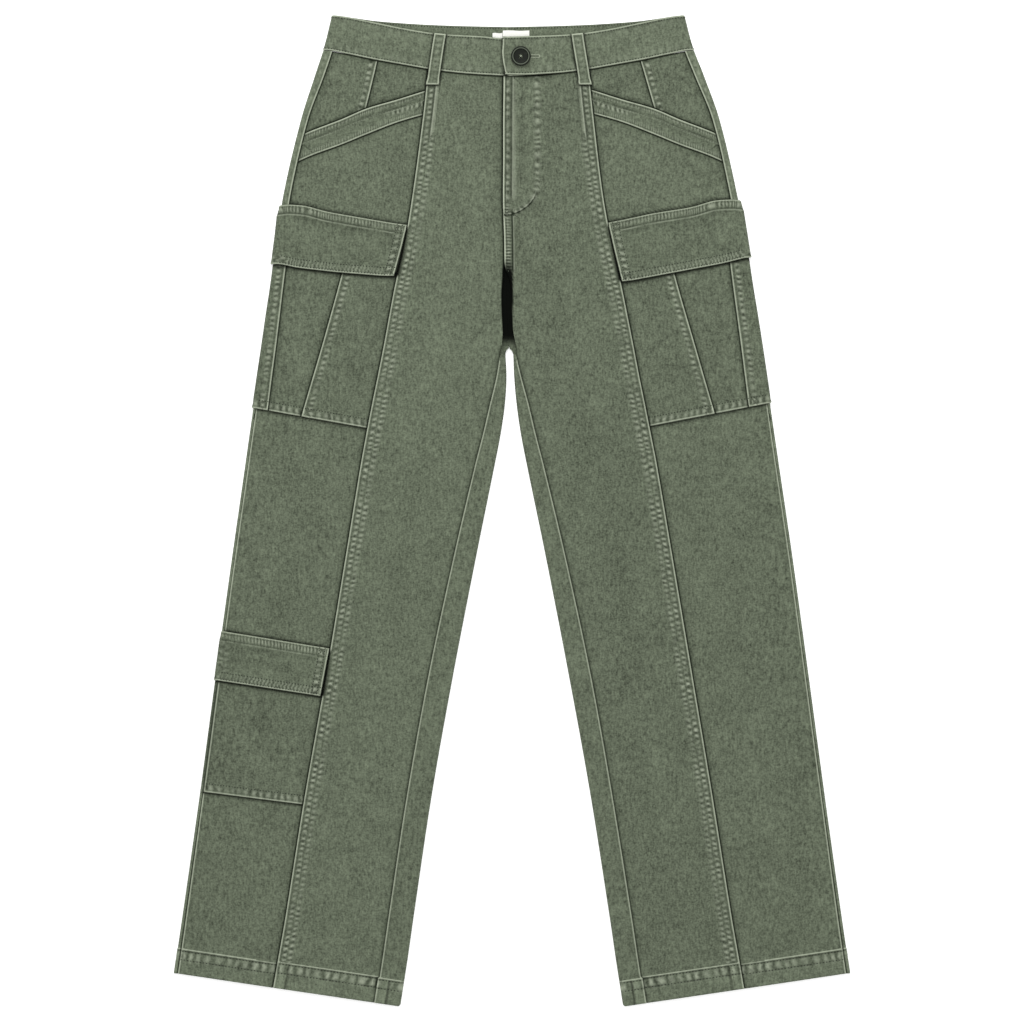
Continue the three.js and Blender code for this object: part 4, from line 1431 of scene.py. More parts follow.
def fly_curve(count: int) -> Array:
    """Points along the fly's curved stitching line, evenly spaced, as X and Y."""
    level = np.linspace(455, FLY_TOP_OF_CURVE, 120)
    turn = np.linspace(0, math.pi / 2, 60)[1:]
    x = np.r_[np.full(level.shape, FLY_EDGE + FLY_WIDTH), FLY_EDGE + FLY_WIDTH * np.cos(turn)]
    y = np.r_[level, FLY_TOP_OF_CURVE - (FLY_TOP_OF_CURVE - FLY_FOOT) * np.sin(turn)]
    travelled = np.r_[0, np.cumsum(np.hypot(np.diff(x), np.diff(y)))]
    at = np.linspace(0, travelled[-1], count)
    return np.stack([np.interp(at, travelled, x), np.interp(at, travelled, y), at], axis=-1)


def fly_sewing(_panel: Panel, sewing: Sewing, h: Array, y: Array) -> None:
    """Raises the fly's doubled cloth and draws it up along its curved stitching."""
    across = ease((fly_reach(y) + FLY_RAMP - h) / FLY_RAMP)
    sewing.lift += FLY_RAISE * across * ease((y - FLY_FOOT) / FLY_RAMP)
    line = fly_curve(90)
    near = (h < 50) & (y > 290)
    gap = np.hypot(h[near][:, None] - line[None, :, 0], y[near][:, None] - line[None, :, 1])
    closest = gap.argmin(axis=1)
    distance = gap.min(axis=1)
    along = line[closest, 2]
    strength = np.zeros(h.shape)
    phase = np.zeros(h.shape)
    strength[near] = 0.8 * bell(distance, 2.6)
    phase[near] = along / 7.6 + 0.2 * WANDER(along, 0 * along)
    sewing.draw_up(strength, phase)
    outside = np.zeros(h.shape)
    beyond = h[near] > fly_reach(y[near])
    outside[near] = bell(distance - 3.2, 1.2) * beyond
    sewing.lift -= 0.3 * outside
    signed = np.full(h.shape, 50.0)
    signed[near] = np.where(beyond, distance, -distance)
    sewing.crease(1.2 - signed, ease((338 - y) / 12) * near, 0.9, 0.75)


def front_inner_edge(side: Side) -> Curve:
    """Inner edge of a front panel: the fly line, then down round the inner fold to the inseam."""

    def edge(y: Array) -> Array:
        over_fly = fly_line(y) if side is Side.LEFT else -fly_line(y) + SEAM_GAP
        return lerp(over_fly, inner_start(side, y) + inseam_turn(side, y), inner_turned(y))

    return edge


class Garment:
    """Builds the trousers piece by piece and keeps the stitches until the end."""

    def __init__(self) -> None:
        """Makes the finishes and starts the thread."""
        self.finish = Wardrobe()
        self.thread = Thread()
        self.hem_thread = Thread(thickness=1.1, share=0.5)

    def lay(self, panel: Panel, rests_on: Sequence[str]) -> None:
        """Builds a panel and sews along it."""
        panel.sew(self.thread, self.hem_thread)
        panel.shell().build(self.finish.twill, [panel.name], rests_on)


def beside_loop(panel: "Panel | Waistband", sewing: Sewing, h: Array, y: Array) -> None:
    """Paints shadow on the cloth along the outline of the belt loop."""
    middle = BeltLoop.middle(panel.side, y)
    beyond = np.maximum(np.abs(h - middle) - BeltLoop.width / 2, BeltLoop.foot_level - y)
    sewing.darken(beyond, 1.8, 1.0)


def beside_flap(panel: Panel, sewing: Sewing, h: Array, y: Array) -> None:
    """Paints shadow on the cloth at the front seam where a flap hangs over it."""
    word = panel.side.word
    flaps = [(CARGO_FLAP_TOP[word], CARGO_FLAP_FOOT[word])]
    if panel.side is Side.RIGHT:
        flaps.append((KNEE_FLAP_TOP, KNEE_FLAP_FOOT))
    from_seam = np.abs(front_seam[panel.side](y) - h)
    for top, foot in flaps:
        drop = (top(h) - y) / (top(h) - foot(h))
        covered = ease(drop * 10) * ease((1.03 - drop) * 14)
        width = 1.5 + 1.5 * np.clip(drop, 0, 1)
        sewing.shine = sewing.shine * (1 - covered * (from_seam < 12))
        sewing.shadow(covered * bell(from_seam, width))


def fly_front(panel: Panel, sewing: Sewing, h: Array, y: Array) -> None:
    """The fly's sewing, painted shade inside the crotch and painted shadow along the belt loop's outline."""
    fly_sewing(panel, sewing, h, y)
    from_edge = h - panel.left(y)
    on_placket = ease((y - PLACKET_FOOT) / 10)
    sewing.crease(from_edge - FLY_CREASE, on_placket * (h < 12), 0.4, 0.55)
    sewing.ridge(from_edge - SEAM_RIDGE, 1.5, 0.5 * on_placket)
    for row in (FLY_ROW, CROTCH_ROW):
        sewing.rows(from_edge, y, row, row.weight(y))
    strip = ease((CROTCH_TOP - y) / 10) * ease((y - FLY_LAP_FOOT) / 8)
    sewing.crease(h - CROTCH_STRIP, strip * (h < 9), 0.55, 0.9)
    # Painted shade where the fly's strip sinks into the crotch
    sunk = ease((263 - y) / 18) * ease((CROTCH_STRIP + 0.4 - h) / 1.2)
    sewing.shadow(sunk * ease((y - 200) / 20))
    crotch_front(panel, sewing, h, y)
    # Painted shadow under the waistband's foot near the fly
    sewing.darken(panel.top(h) - y, 1.8, 0.95 * ease((50 - h) / 20))


def crotch_front(panel: Panel, sewing: Sewing, h: Array, y: Array) -> None:
    """Paints shadow on a front panel at the flaps and the belt loop, and shade where it turns down into the
    crotch.
    """
    beside_loop(panel, sewing, h, y)
    beside_flap(panel, sewing, h, y)
    from_seam = front_seam[panel.side](y) - h
    beside_yoke = ease((y - 384) / 14) * ease((panel.top(h) - y) / 20) * (from_seam < 16)
    sewing.pucker = sewing.pucker * (1 - beside_yoke * (from_seam > 8.6))
    sewing.crease(from_seam - SEAM_CREASE, beside_yoke, 0.6, 0.6)
    sewing.ridge(from_seam - SEAM_RIDGE, 1.6, 0.65 * beside_yoke)
    in_hem = ease((FRONT_HEM[0] - y + HEM(h)) / 2)
    # Painted shade in a line inside the hem, at the edge of the seam's pale patch
    sewing.shadow(0.5 * in_hem * bell(from_seam - HEM_PATCH, 0.9))
    # Painted shade where the panel turns down into the crotch
    fade = ease((268 - y) / 18) * ease((y - 162) / 12)
    turned_in = ease((inner_start(panel.side, y) - 1.2 - h) / 1.2)
    sewing.shadow(fade * turned_in)


@dataclass
class LegFronts:
    """Front and side panels of one leg."""

    side: Side
    step_down: float = 1.9

    def build(self, garment: Garment) -> None:
        """Builds both panels."""
        word = self.side.word
        sign = self.side
        over_fly = [(Face.LEFT, FLY_LAP)]
        under_fly = [(Face.LEFT, Border(rise=-0.9, low=FLY_LAP_FOOT))]
        front = Panel(
            name=f"front_panel_{word}", side=sign, left=front_inner_edge(sign), right=front_seam[sign],
            top=lambda h: band_foot(sign, h), foot=HEM, hem=FRONT_HEM, step_down=self.step_down,
            step_across=3.4, wear_and_shading=-0.22 if sign is Side.LEFT else -0.08,
            borders=[(Face.RIGHT, LONG_SEAM), (Face.TOP, TUCKED), (Face.LEFT, INSEAM_UNDER)]
            + (over_fly if sign is Side.LEFT else under_fly),
            extra=fly_front if sign is Side.LEFT else crotch_front,
        )
        garment.lay(front, [f"back_panel_{word}"])
        below_pocket = Border(rise=0.4, shine=0.9, high=LAP_CHANGE)
        above_pocket = Border(rise=-0.9, low=LAP_CHANGE)
        # Painted shadows above the flaps' tops and below the pockets' feet
        shadows = [(CARGO_FLAP_TOP[word], 1, 1.9, 1.0), (CARGO_FOOT[word], -1, 2.1, 1.0)]
        if sign is Side.RIGHT:
            shadows += [(KNEE_FLAP_TOP, 1, 1.9, 1.0), (KNEE_FOOT, -1, 2.1, 1.0)]
        side_panel = Panel(
            name=f"side_panel_{word}", side=sign, left=front_seam[sign], right=side_seam, top=mouth_foot,
            foot=HEM, hem=SIDE_HEM, step_down=2.2, wear_and_shading=-0.16, shadows=shadows, extra=beside_flap,
            borders=[(Face.LEFT, TUCKED), (Face.TOP, TUCKED), (Face.RIGHT, below_pocket),
                     (Face.RIGHT, above_pocket)],
        )
        garment.lay(side_panel, [f"back_panel_{word}"])


def band_sewing(panel: Panel, sewing: Sewing, h: Array, y: Array) -> None:
    """Presses a second line along the pocket band and puckers its inner end."""
    below = (panel.top(h) - y) * 0.95
    uneven = np.clip(0.7 + 0.3 * WANDER(h, 0 * y), 0.2, 1)
    sewing.crease(below - BAND_RIDGE, uneven, 0.4, 0.5)
    near_seam = ease((front_seam[panel.side](y) + 46 - h) / 20)
    sewing.rows(below, h, Border(rise=0.0, rows=(12.4,), pitch=5.4, pucker=0.8), near_seam)


@dataclass
class Hip:
    """The two yokes above the slanted pocket and the wide band along its mouth."""

    side: Side

    def build(self, garment: Garment) -> None:
        """Builds the yokes and the band."""
        word = self.side.word
        back = [f"back_panel_{word}"]
        yokes = (
            ("yoke_inner", front_seam[self.side], dart_seam, [(Face.LEFT, TUCKED), (Face.RIGHT, TUCKED)]),
            ("yoke_outer", dart_seam, side_seam, [(Face.LEFT, SHORT_SEAM), (Face.RIGHT, TUCKED)]),
        )
        for name, left, right, borders in yokes:
            yoke = Panel(
                name=f"{name}_{word}", side=self.side, left=left, right=right, top=waist_front_foot,
                foot=mouth_top, borders=borders + [(Face.TOP, TUCKED), (Face.FOOT, TUCKED)],
                step_across=2.6, wear_and_shading=-0.28, extra=beside_loop,
            )
            garment.lay(yoke, back)
        band = Panel(
            name=f"pocket_band_{word}", side=self.side, left=front_seam[self.side], right=side_seam,
            top=mouth_top, foot=mouth_foot, wall=DOUBLED_WALL, step_across=1.9, step_down=1.5, wear_and_shading=-0.1,
            borders=[(Face.TOP, BAND_TOP), (Face.FOOT, BAND_FOOT), (Face.LEFT, TUCKED),
                     (Face.RIGHT, TUCKED)], extra=band_sewing,
            base_lift=lambda _v: BAND_LIFT,
        )
        garment.lay(band, back)


def flap_lift(v: Array) -> Array:
    """Height of a flap's outer face: low at its sewn top edge and over the pocket below it."""
    return lerp(SEAM_GAP + DOUBLED_WALL, FLAP_LIFT, ease(v / FLAP_RISE))


def flap_sewing(panel: Panel, sewing: Sewing, h: Array, y: Array) -> None:
    """Presses the lower edge of the band along a flap's top, and paints soft shade below it."""
    below = (panel.top(h) - FLAP_BAND - y) / math.hypot(1, panel.top.rise)
    held = ease((h - panel.left(y) - 8) / 8)
    pressed = 0.4 if panel.name == "knee_flap" else 1.0
    uneven = np.clip(0.75 + 0.3 * WANDER(h, 0 * y), 0.2, 1.0) * pressed
    sewing.crease(below, held * uneven, 0.55, 0.6)
    # Uneven painted shade below the pressed line
    uneven_shade = np.clip(0.5 + 0.4 * WANDER(h + 90, 0 * y), 0, 0.9)
    sewing.shadow(0.27 * held * uneven_shade * bell(below - 4.2, 2.6))


def knee_flap_sewing(panel: Panel, sewing: Sewing, h: Array, y: Array) -> None:
    """Sews the knee flap's outer side as well, which ends at the side fold."""
    flap_sewing(panel, sewing, h, y)
    outer = Border(rise=0.0, rows=(3.4, 8.4), pitch=6.4, pucker=0.5, spread=2.2)
    sewing.rows(outer_fold(y) - h, y, outer)


def knee_pocket_sewing(panel: Panel, sewing: Sewing, h: Array, y: Array) -> None:
    """Paints the pocket's outer edge just inside the side fold as a highlight with shade on its outer side.
    """
    beside_flap(panel, sewing, h, y)
    sewing.crease(fold_start(y) - 0.9 - h, ease((KNEE_FLAP_FOOT(h) - y) / 4), 1.3, 0.8)


def flap_inner_edge(
    side: Side, top: CrossLine, foot: CrossLine, top_in: float, foot_in: float
) -> Curve:
    """Inner edge of a flap, which draws away from the front seam towards its foot."""
    seam = front_seam[side]

    def edge(y: Array) -> Array:
        middle = seam(y) + top_in
        drop = (top(middle) - y) / (top(middle) - foot(middle))
        return seam(y) + lerp(top_in, foot_in, drop)

    return edge


def pocket_flap(
    name: str, side: Side, top: CrossLine, foot: CrossLine, drawn_in: tuple[float, float],
    wrap: float, extra: Callable[[Panel, Sewing, Array, Array], None],
) -> Panel:
    """The flap of a pocket.

    Args:
        name: Name of the piece.
        side: The wearer's side.
        top: Its sewn edge.
        foot: Its lower edge.
        drawn_in: How far from the front seam it begins, at the top and at the foot.
        wrap: How far it goes round the side fold, in radians.
        extra: Its own sewing.

    Returns:
        The flap's panel.
    """
    return Panel(
        name=name, side=side, left=flap_inner_edge(side, top, foot, *drawn_in), right=fold_start,
        top=top, foot=foot, wall=DOUBLED_WALL, base_lift=flap_lift, wrap=wrap, extra=extra,
        borders=[(Face.LEFT, FLAP_SIDE), (Face.FOOT, FLAP_FOOT), (Face.TOP, FLAP_TOP)],
        gap=(False, False, False, False), step_across=1.7, step_down=1.7, wear_and_shading=-0.2,
    )


@dataclass
class CargoPocket:
    """The thigh pocket of one leg: three strips of its body and its flap."""

    side: Side

    def build(self, garment: Garment) -> None:
        """Builds the body and the flap."""
        word = self.side.word
        top = CARGO_FLAP_TOP[word]
        under = CrossLine(top.level - MOUTH_DEPTH, top.rise)
        rests = [f"side_panel_{word}"]
        side = self.side
        flap_foot = CARGO_FLAP_FOOT[word]
        strips = (
            ("cargo_front", front_seam[side], pleat_seam[side], TUCKED, POCKET_SEAM, 0.0),
            ("cargo_middle", pleat_seam[side], gusset_seam[side], TUCKED, TUCKED, 0.0),
            ("cargo_gusset", gusset_seam[side], fold_start, POCKET_SEAM, None, CARGO_WRAP),
        )
        for name, left, right, left_border, right_border, wrap in strips:
            borders = [(Face.LEFT, left_border), (Face.FOOT, POCKET_HEM)]
            if right_border:
                borders.append((Face.RIGHT, right_border))
            # Each strip gets a painted shadow below the flap's foot
            strip = Panel(
                name=f"{name}_{word}", side=side, left=left, right=right, top=under,
                foot=CARGO_FOOT[word], borders=borders, base_lift=lambda _v: POCKET_LIFT, wrap=wrap,
                gap=(True, not wrap, False, False), step_across=3.4, shadows=[(flap_foot, -1, 3.0, 1.0)],
                wear_and_shading=-0.24, extra=beside_flap,
            )
            garment.lay(strip, rests)
        drawn_in = (0.6, 3.0) if side is Side.RIGHT else (0.3, 1.2)
        flap = pocket_flap(f"cargo_flap_{word}", side, top, flap_foot, drawn_in, CARGO_WRAP, flap_sewing)
        garment.lay(flap, [f"cargo_front_{word}", f"cargo_middle_{word}", f"cargo_gusset_{word}"])


@dataclass
class KneePocket:
    """The knee pocket of the right leg with its flap."""

    side: Side = Side.RIGHT

    def build(self, garment: Garment) -> None:
        """Builds the body and the flap."""
        under = CrossLine(KNEE_FLAP_TOP.level - MOUTH_DEPTH, KNEE_FLAP_TOP.rise)
        # The body gets a painted shadow below the flap's foot
        body = Panel(
            name="knee_pocket", side=self.side, left=front_seam[self.side], right=fold_start, top=under,
            foot=KNEE_FOOT, base_lift=lambda _v: POCKET_LIFT, wrap=KNEE_WRAP, gap=(True, False, False, False),
            borders=[(Face.LEFT, TUCKED), (Face.FOOT, POCKET_HEM)], step_across=3.4, wear_and_shading=-0.24,
            shadows=[(KNEE_FLAP_FOOT, -1, 2.6, 1.0)], extra=knee_pocket_sewing,
        )
        garment.lay(body, [f"side_panel_{self.side.word}"])
        flap = pocket_flap(
            "knee_flap", self.side, KNEE_FLAP_TOP, KNEE_FLAP_FOOT, (1.0, 1.8), KNEE_WRAP, knee_flap_sewing
        )
        garment.lay(flap, ["knee_pocket"])


def row_at(points: Array, place: Array, target: Array | float) -> Array:
    """Stitching points, one a column, where a value that rises from row to row meets its target.

    Args:
        points: A grid of points.
        place: The value at each of them, or at each row.
        target: The target, or one for each column.

    Returns:
        The points, a little over the cloth.
    """
    columns = points.shape[1]
    place = np.broadcast_to(place, points.shape[:2])
    target = np.broadcast_to(target, columns)
    row = np.array([
        [np.interp(target[column], place[:, column], points[:, column, axis]) for axis in range(3)]
        for column in range(columns)
    ])
    return row + STITCH_RISE * UP


def zone_grid(columns: list[tuple["Zone", float]], down: Array) -> tuple[Array, ...]:
    """Spreads the columns of a piece and its rows over one grid.

    Args:
        columns: Zone of each column and share of that zone.
        down: Share of the length at each row.

    Returns:
        Numbers of the zones, shares of them and shares of the length.
    """
    zone = np.array([z.value for z, _f in columns])
    share = np.array([f for _z, f in columns])
    return tuple(np.broadcast_arrays(zone[None, :], share[None, :], down[:, None]))


class Zone(Enum):
    """Stretches of the cloth of a back panel or waistband, from the front round to the back."""

    SIDE_STRIP = 0
    FRONT = 1
    SIDE_FOLD = 2
    UNDER = 3
    INNER_FOLD = 4
    INNER_STRIP = 5
    CENTRE_BACK = 6


@dataclass
class BackPanel:
    """Back of one leg: round the side fold, flat underneath, and up round the inner fold."""

    side: Side
    grid_length: float = 1000.0
    length: float = 993.0
    step_down: float = 3.4

    def build(self, garment: Garment) -> None:
        """Builds the panel and sews it."""
        side = self.side
        half_gap = SEAM_GAP / 2
        half_round = math.pi * FOLD_RADIUS
        columns = [(Zone.SIDE_STRIP, f) for f in np.linspace(0, 0.9, 7)]
        columns += [(Zone.SIDE_FOLD, f) for f in np.linspace(0, 1, 9)]
        columns += [(Zone.UNDER, f) for f in np.linspace(0, 1, 22)[1:-1]]
        columns += [(Zone.INNER_FOLD, f) for f in np.linspace(0, 1, 9)]
        columns += [(Zone.INNER_STRIP, f) for f in graded(24, 1.2, fine_start=False)[1:]]
        down = with_hem(graded(self.grid_length, self.step_down), self.length, BACK_HEM[0])
        zone, share, down = zone_grid(columns, down)
        strip = zone == Zone.SIDE_STRIP.value
        under = zone == Zone.UNDER.value
        fold = zone == Zone.SIDE_FOLD.value
        inner = zone >= Zone.INNER_FOLD.value

        y = lerp(460.0, -500.0, down)
        h = np.zeros(y.shape)
        for _ in range(PLAN_ROUNDS):
            h = np.where(fold, fold_start(y), inner_start(side, y))
            h = np.where(under, lerp(fold_start(y), inner_start(side, y), share), h)
            h = np.where(strip, lerp(side_seam(y) + half_gap, fold_start(y), share), h)
            top = np.where(strip, waist_front_foot(h), waist_back_foot(h)) - half_gap
            reach = h + np.where(zone == Zone.INNER_STRIP.value, share * inseam_turn(side, y), 0.0)
            corner = np.where(zone == Zone.INNER_FOLD.value, 1.8 * np.sin(np.pi * share) ** 2, 0.0)
            y = lerp(top, HEM(reach) + corner, down)

        sewing = Sewing(y.shape)
        from_seam = np.where(strip, h - side_seam(y), 50.0)
        hip = Border(rise=0.4, rows=(5.4,), pitch=9.0, pucker=0.35, low=LAP_CHANGE)
        sewing.border(from_seam, y, hip, hip.weight(y))
        tucked = Border(rise=-0.5, high=LAP_CHANGE, shine=0.8)
        sewing.border(from_seam, y, tucked, tucked.weight(y))
        sewing.ridge(from_seam - 2.6, 0.8, 0.6 * tucked.weight(y))

        start = inner_start(side, y)
        curl = ease((BACK_SPLIT - y) / BACK_ROLL)
        length = lerp(start - centre_back(side, y), half_round + inseam_turn(side, y) - SEAM_GAP, curl)
        split = np.minimum(half_round, 0.75 * length)
        along = np.where(zone == Zone.INNER_FOLD.value, share * split, lerp(split, length, share))
        from_inseam = np.where(inner & (y < INSEAM_TOP), length - along, 50.0)
        sewing.border(from_inseam, y, INSEAM, ease((INSEAM_TOP - y) / 10))
        # Painted shade in the crotch hollow between the fronts: black high up, fading out downwards
        inside = inner & (y > 150)
        sewing.shade = np.where(inside, ease((y - 166) / 16), 0.0)
        from_foot = np.where(under, 50.0, y - HEM(reach))
        sewing.turn_up(from_foot, reach, BACK_HEM)
        in_hem = ease((BACK_HEM[0] - from_foot) / 2)
        # Painted shade in a line inside the hem, at the edge of the inseam's pale patch
        sewing.shadow(0.75 * in_hem * bell(from_inseam - HEM_PATCH, 1.1))
        raised = np.where(strip, 1.0, np.where(fold, 1 - share, ease((along - half_round) / 3)))
        lift = raised * (sewing.lift + sewing.pucker_lift())

        points = skin(side, np.where(fold, fold_start(y) + share * half_round, h), y, lift)
        beneath = placed(side, h, y, 0 * y)
        points = np.where(under[..., None], beneath, points)
        bend = FOLD_RADIUS / np.maximum(curl, 1e-3)
        angle = along / bend
        curled = placed(side, start - bend * np.sin(angle), y, bend * (1 - np.cos(angle)))
        flat = placed(side, start - along, y, 0 * y)
        curled = np.where((curl < 1e-3)[..., None], flat, curled)
        beyond = start + along - half_round
        over = placed(side, beyond, y, front_height(side, beyond, y) + lift)
        curled = np.where((along > half_round)[..., None] & (curl > 0.999)[..., None], over, curled)
        points = np.where(inner[..., None], curled, points)
        shown = zone[0] >= Zone.INNER_STRIP.value
        for away in BACK_HEM[1:]:
            path = row_at(points[::-1, shown], from_foot[::-1, shown], away)
            garment.hem_thread.run(path, pitch=HEM_STITCH_PITCH)
        # Painted light lifts the side strip and side fold where they turn down; the hem is paler with fading,
        # most beside the inseam
        wear_and_shading = np.where(strip | fold, 0.5, 0.0)
        wear_and_shading = wear_and_shading + in_hem * (0.28 + 0.6 * ease((HEM_PATCH - from_inseam) / 1.5))
        shell = Shell(f"back_panel_{side.word}", side, points, sewing, TWILL_WALL, wear_and_shading=wear_and_shading)
        shell.build(garment.finish.inside, [shell.name], ["floor"])


@dataclass
class Waistband:
    """Half of the waistband: over the front, round the side fold and under to the centre back."""

    side: Side

    def build(self, garment: Garment) -> None:
        """Builds the half and sews its edges."""
        side = self.side
        half_round = math.pi * FOLD_RADIUS
        closing = float(fly_line(np.array(497.0))) if side is Side.LEFT else -UNDERLAP_END
        width = float(fold_start(np.array(500.0))) - closing
        columns = [(Zone.FRONT, f) for f in graded(width, 2.6)]
        columns += [(Zone.SIDE_FOLD, f) for f in np.linspace(0, 1, 9)[1:]]
        columns += [(Zone.UNDER, f) for f in np.linspace(0, 1, 42)[1:]]
        columns += [(Zone.CENTRE_BACK, 1.0)]
        zone, share, down = zone_grid(columns, graded(BAND_DEPTH, BAND_STEP))
        front = zone == Zone.FRONT.value
        fold = zone == Zone.SIDE_FOLD.value
        under = zone == Zone.UNDER.value

        y = np.full(zone.shape, 490.0)
        h = np.zeros(zone.shape)
        for _ in range(PLAN_ROUNDS):
            bowed = 1.4 * ease((470 - y) / 12) - 1.0 * bell(y - 479, 8)
            slant = bowed if side is Side.LEFT else 0.0
            h = np.where(front, lerp(closing + slant, fold_start(y), share), fold_start(y))
            h = np.where(under, lerp(fold_start(y), inner_start(side, y), share), h)
            h = np.where(zone == Zone.CENTRE_BACK.value, centre_back(side, y), h)
            on_front = front | fold
            dip = 1.6 * bell(np.abs(h) - 8, 14) if side is Side.RIGHT else 0.0
            top = np.where(on_front, waist_front_top(np.abs(h)) - dip, waist_back_top(np.abs(h)))
            foot = np.where(on_front, band_foot(side, h), waist_back_foot(np.abs(h))) + SEAM_GAP
            y = lerp(top, foot, down)

        sewing = Sewing(y.shape)
        on_front = front | fold
        sewing.border(top - y, h, WAIST_TOP, on_front * 1.0)
        sewing.border(y - foot, h, WAIST_FOOT, on_front * 1.0)
        if side is Side.LEFT:
            closing_edge = Border(rise=0.5, threads=(3.0,), shine=1.2)
            sewing.border(np.where(front, h - closing - slant, 50.0), y, closing_edge)
        else:
            # Painted shadow beside the lapped closing edge of the other half
            sewing.darken(np.where(front, h + fly_line(y), 50.0), 1.4, 0.9)
        beside_loop(self, sewing, np.where(front, h, 300.0), y)
        sewn = sewing.lift + sewing.pucker_lift()
        lift = np.where(front, sewn, np.where(fold, sewn * (1 - share), 0.0))
        overlap = OVERLAP_LIFT * ease((OVERLAP_END - h) / OVERLAP_FADE) if side is Side.LEFT else 0.0
        proud = WAISTBAND_PROUD * np.where(front, 1.0, np.where(fold, 1 - share, 0.0))
        lift = lift + proud + np.where(front, overlap, 0.0)
        points = skin(side, np.where(fold, fold_start(y) + share * half_round, h), y, lift)
        beneath = placed(side, h, y, 0 * y)
        points = np.where(on_front[..., None], points, beneath)
        shell = Shell(f"waistband_{side.word}", side, points, sewing, WAISTBAND_WALL, wear_and_shading=0.05)
        shell.build(garment.finish.twill, [shell.name], [f"back_panel_{side.word}"])
        for border, face_row in ((WAIST_TOP, 0), (WAIST_FOOT, 1)):
            for away in border.threads:
                garment.hem_thread.run(self.row(points, on_front[0], away, face_row))
        garment.hem_thread.run(self.row(points, under[0], 1.8, 0) + WAISTBAND_WALL * UP)

    @staticmethod
    def row(points: Array, on_front: Array, away: float, from_foot: int) -> Array:
        """Points of a row of stitches along the band's top edge, or its foot if from_foot is 1."""
        depth = np.linalg.norm(points[-1] - points[0], axis=-1)
        fraction = away / depth
        target = 1 - fraction if from_foot else fraction
        return row_at(points, graded(BAND_DEPTH, BAND_STEP)[:, None], target)[on_front]


@dataclass
class BeltLoop:
    """A narrow doubled strip over the waistband, sewn down below it."""

    side: Side
    width: float = 12.4
    length: float = 52.0
    top_level: float = 500.0
    foot_level: float = 446.4
    wall: float = 1.5
    bow: float = 0.8

    @classmethod
    def middle(cls, side: Side, y: Array) -> Array:
        """Distance of the loop's middle from the middle line at each level."""
        top_h, foot_h = (71.5, 81.2) if side is Side.RIGHT else (72.3, 79.4)
        return lerp(top_h, foot_h, (cls.top_level - y) / (cls.top_level - cls.foot_level))

    def build(self, garment: Garment) -> None:
        """Builds the loop."""
        u = graded(self.width, 1.0)[None, :] - 0.5
        v = graded(self.length, 1.2)[:, None]
        u, v = np.broadcast_arrays(u, v)
        h = self.middle(self.side, lerp(self.top_level, self.foot_level, v))
        h = h + u * self.width * (1 + 0.12 * ease((v - 0.86) / 0.1))
        top = waist_front_top(h)
        y = lerp(top, self.foot_level, v)
        band_foot = waist_front_foot(np.full(h.shape, 80.0))
        on_band = WAISTBAND_PROUD + SEAM_GAP + self.bow * np.sin(np.pi * v) + 0.5
        lift = lerp(SEAM_GAP, on_band, ease((y - band_foot) / 6 + 1.1)) + self.wall
        sewing = Sewing(h.shape)
        for distance, along in (
            ((0.5 + u) * self.width, y), ((0.5 - u) * self.width, y),
            ((1 - v) * self.length, h), (v * self.length, h),
        ):
            sewing.border(distance, along, LOOP_EDGE)
        roping = Border(rise=0.0, rows=(self.width / 2,), pitch=6.5, pucker=0.3, spread=3.0)
        sewing.rows((0.5 + u) * self.width, y, roping)
        points = skin(self.side, h, y, lift + sewing.lift + sewing.pucker_lift())
        shell = Shell(f"belt_loop_{self.side.word}", self.side, points, sewing, self.wall, wear_and_shading=0.12)
        shell.build(garment.finish.twill, [shell.name], [f"waistband_{self.side.word}"])
        position = graded(self.width, 1.0)[:, None]
        for away in LOOP_EDGE.threads:
            for target in (away / self.width, 1 - away / self.width):
                garment.thread.run(row_at(points.swapaxes(0, 1), position, target))


@dataclass
class Labels:
    """Two blank white labels inside the back waistband."""

    floor: float = WAISTBAND_WALL + SEAM_GAP
    wall: float = 1.0

    def build(self, garment: Garment) -> None:
        """Builds both labels."""
        sizes = (
            # name, left, right, top, foot
            ("label_main", -9.6, 18.2, 503.6, 474.0),
            ("label_tab", -20.4, -10.0, 501.0, 478.0),
        )
        for name, left, right, top, foot in sizes:
            u = np.linspace(0, 1, 24)[None, :]
            v = np.linspace(0, 1, 22)[:, None]
            u, v = np.broadcast_arrays(u, v)
            sag = 0.25 * np.sin(np.pi * v) * np.cos(3 * np.pi * u) + 0.15 * SCATTER(40 * u, 30 * v) * 0.3
            x = lerp(left, right, u)
            y = lerp(top, foot, v) + 0.25 * np.sin(2.2 * np.pi * u) * (1 - v)
            points = np.stack([x, y, self.floor + self.wall + np.maximum(sag, -0.2)], axis=-1)
            sewing = Sewing(u.shape)
            shell = Shell(name, Side.LEFT, points, sewing, self.wall)
            shell.build(garment.finish.label, [name], ["waistband_left"], slot="label")


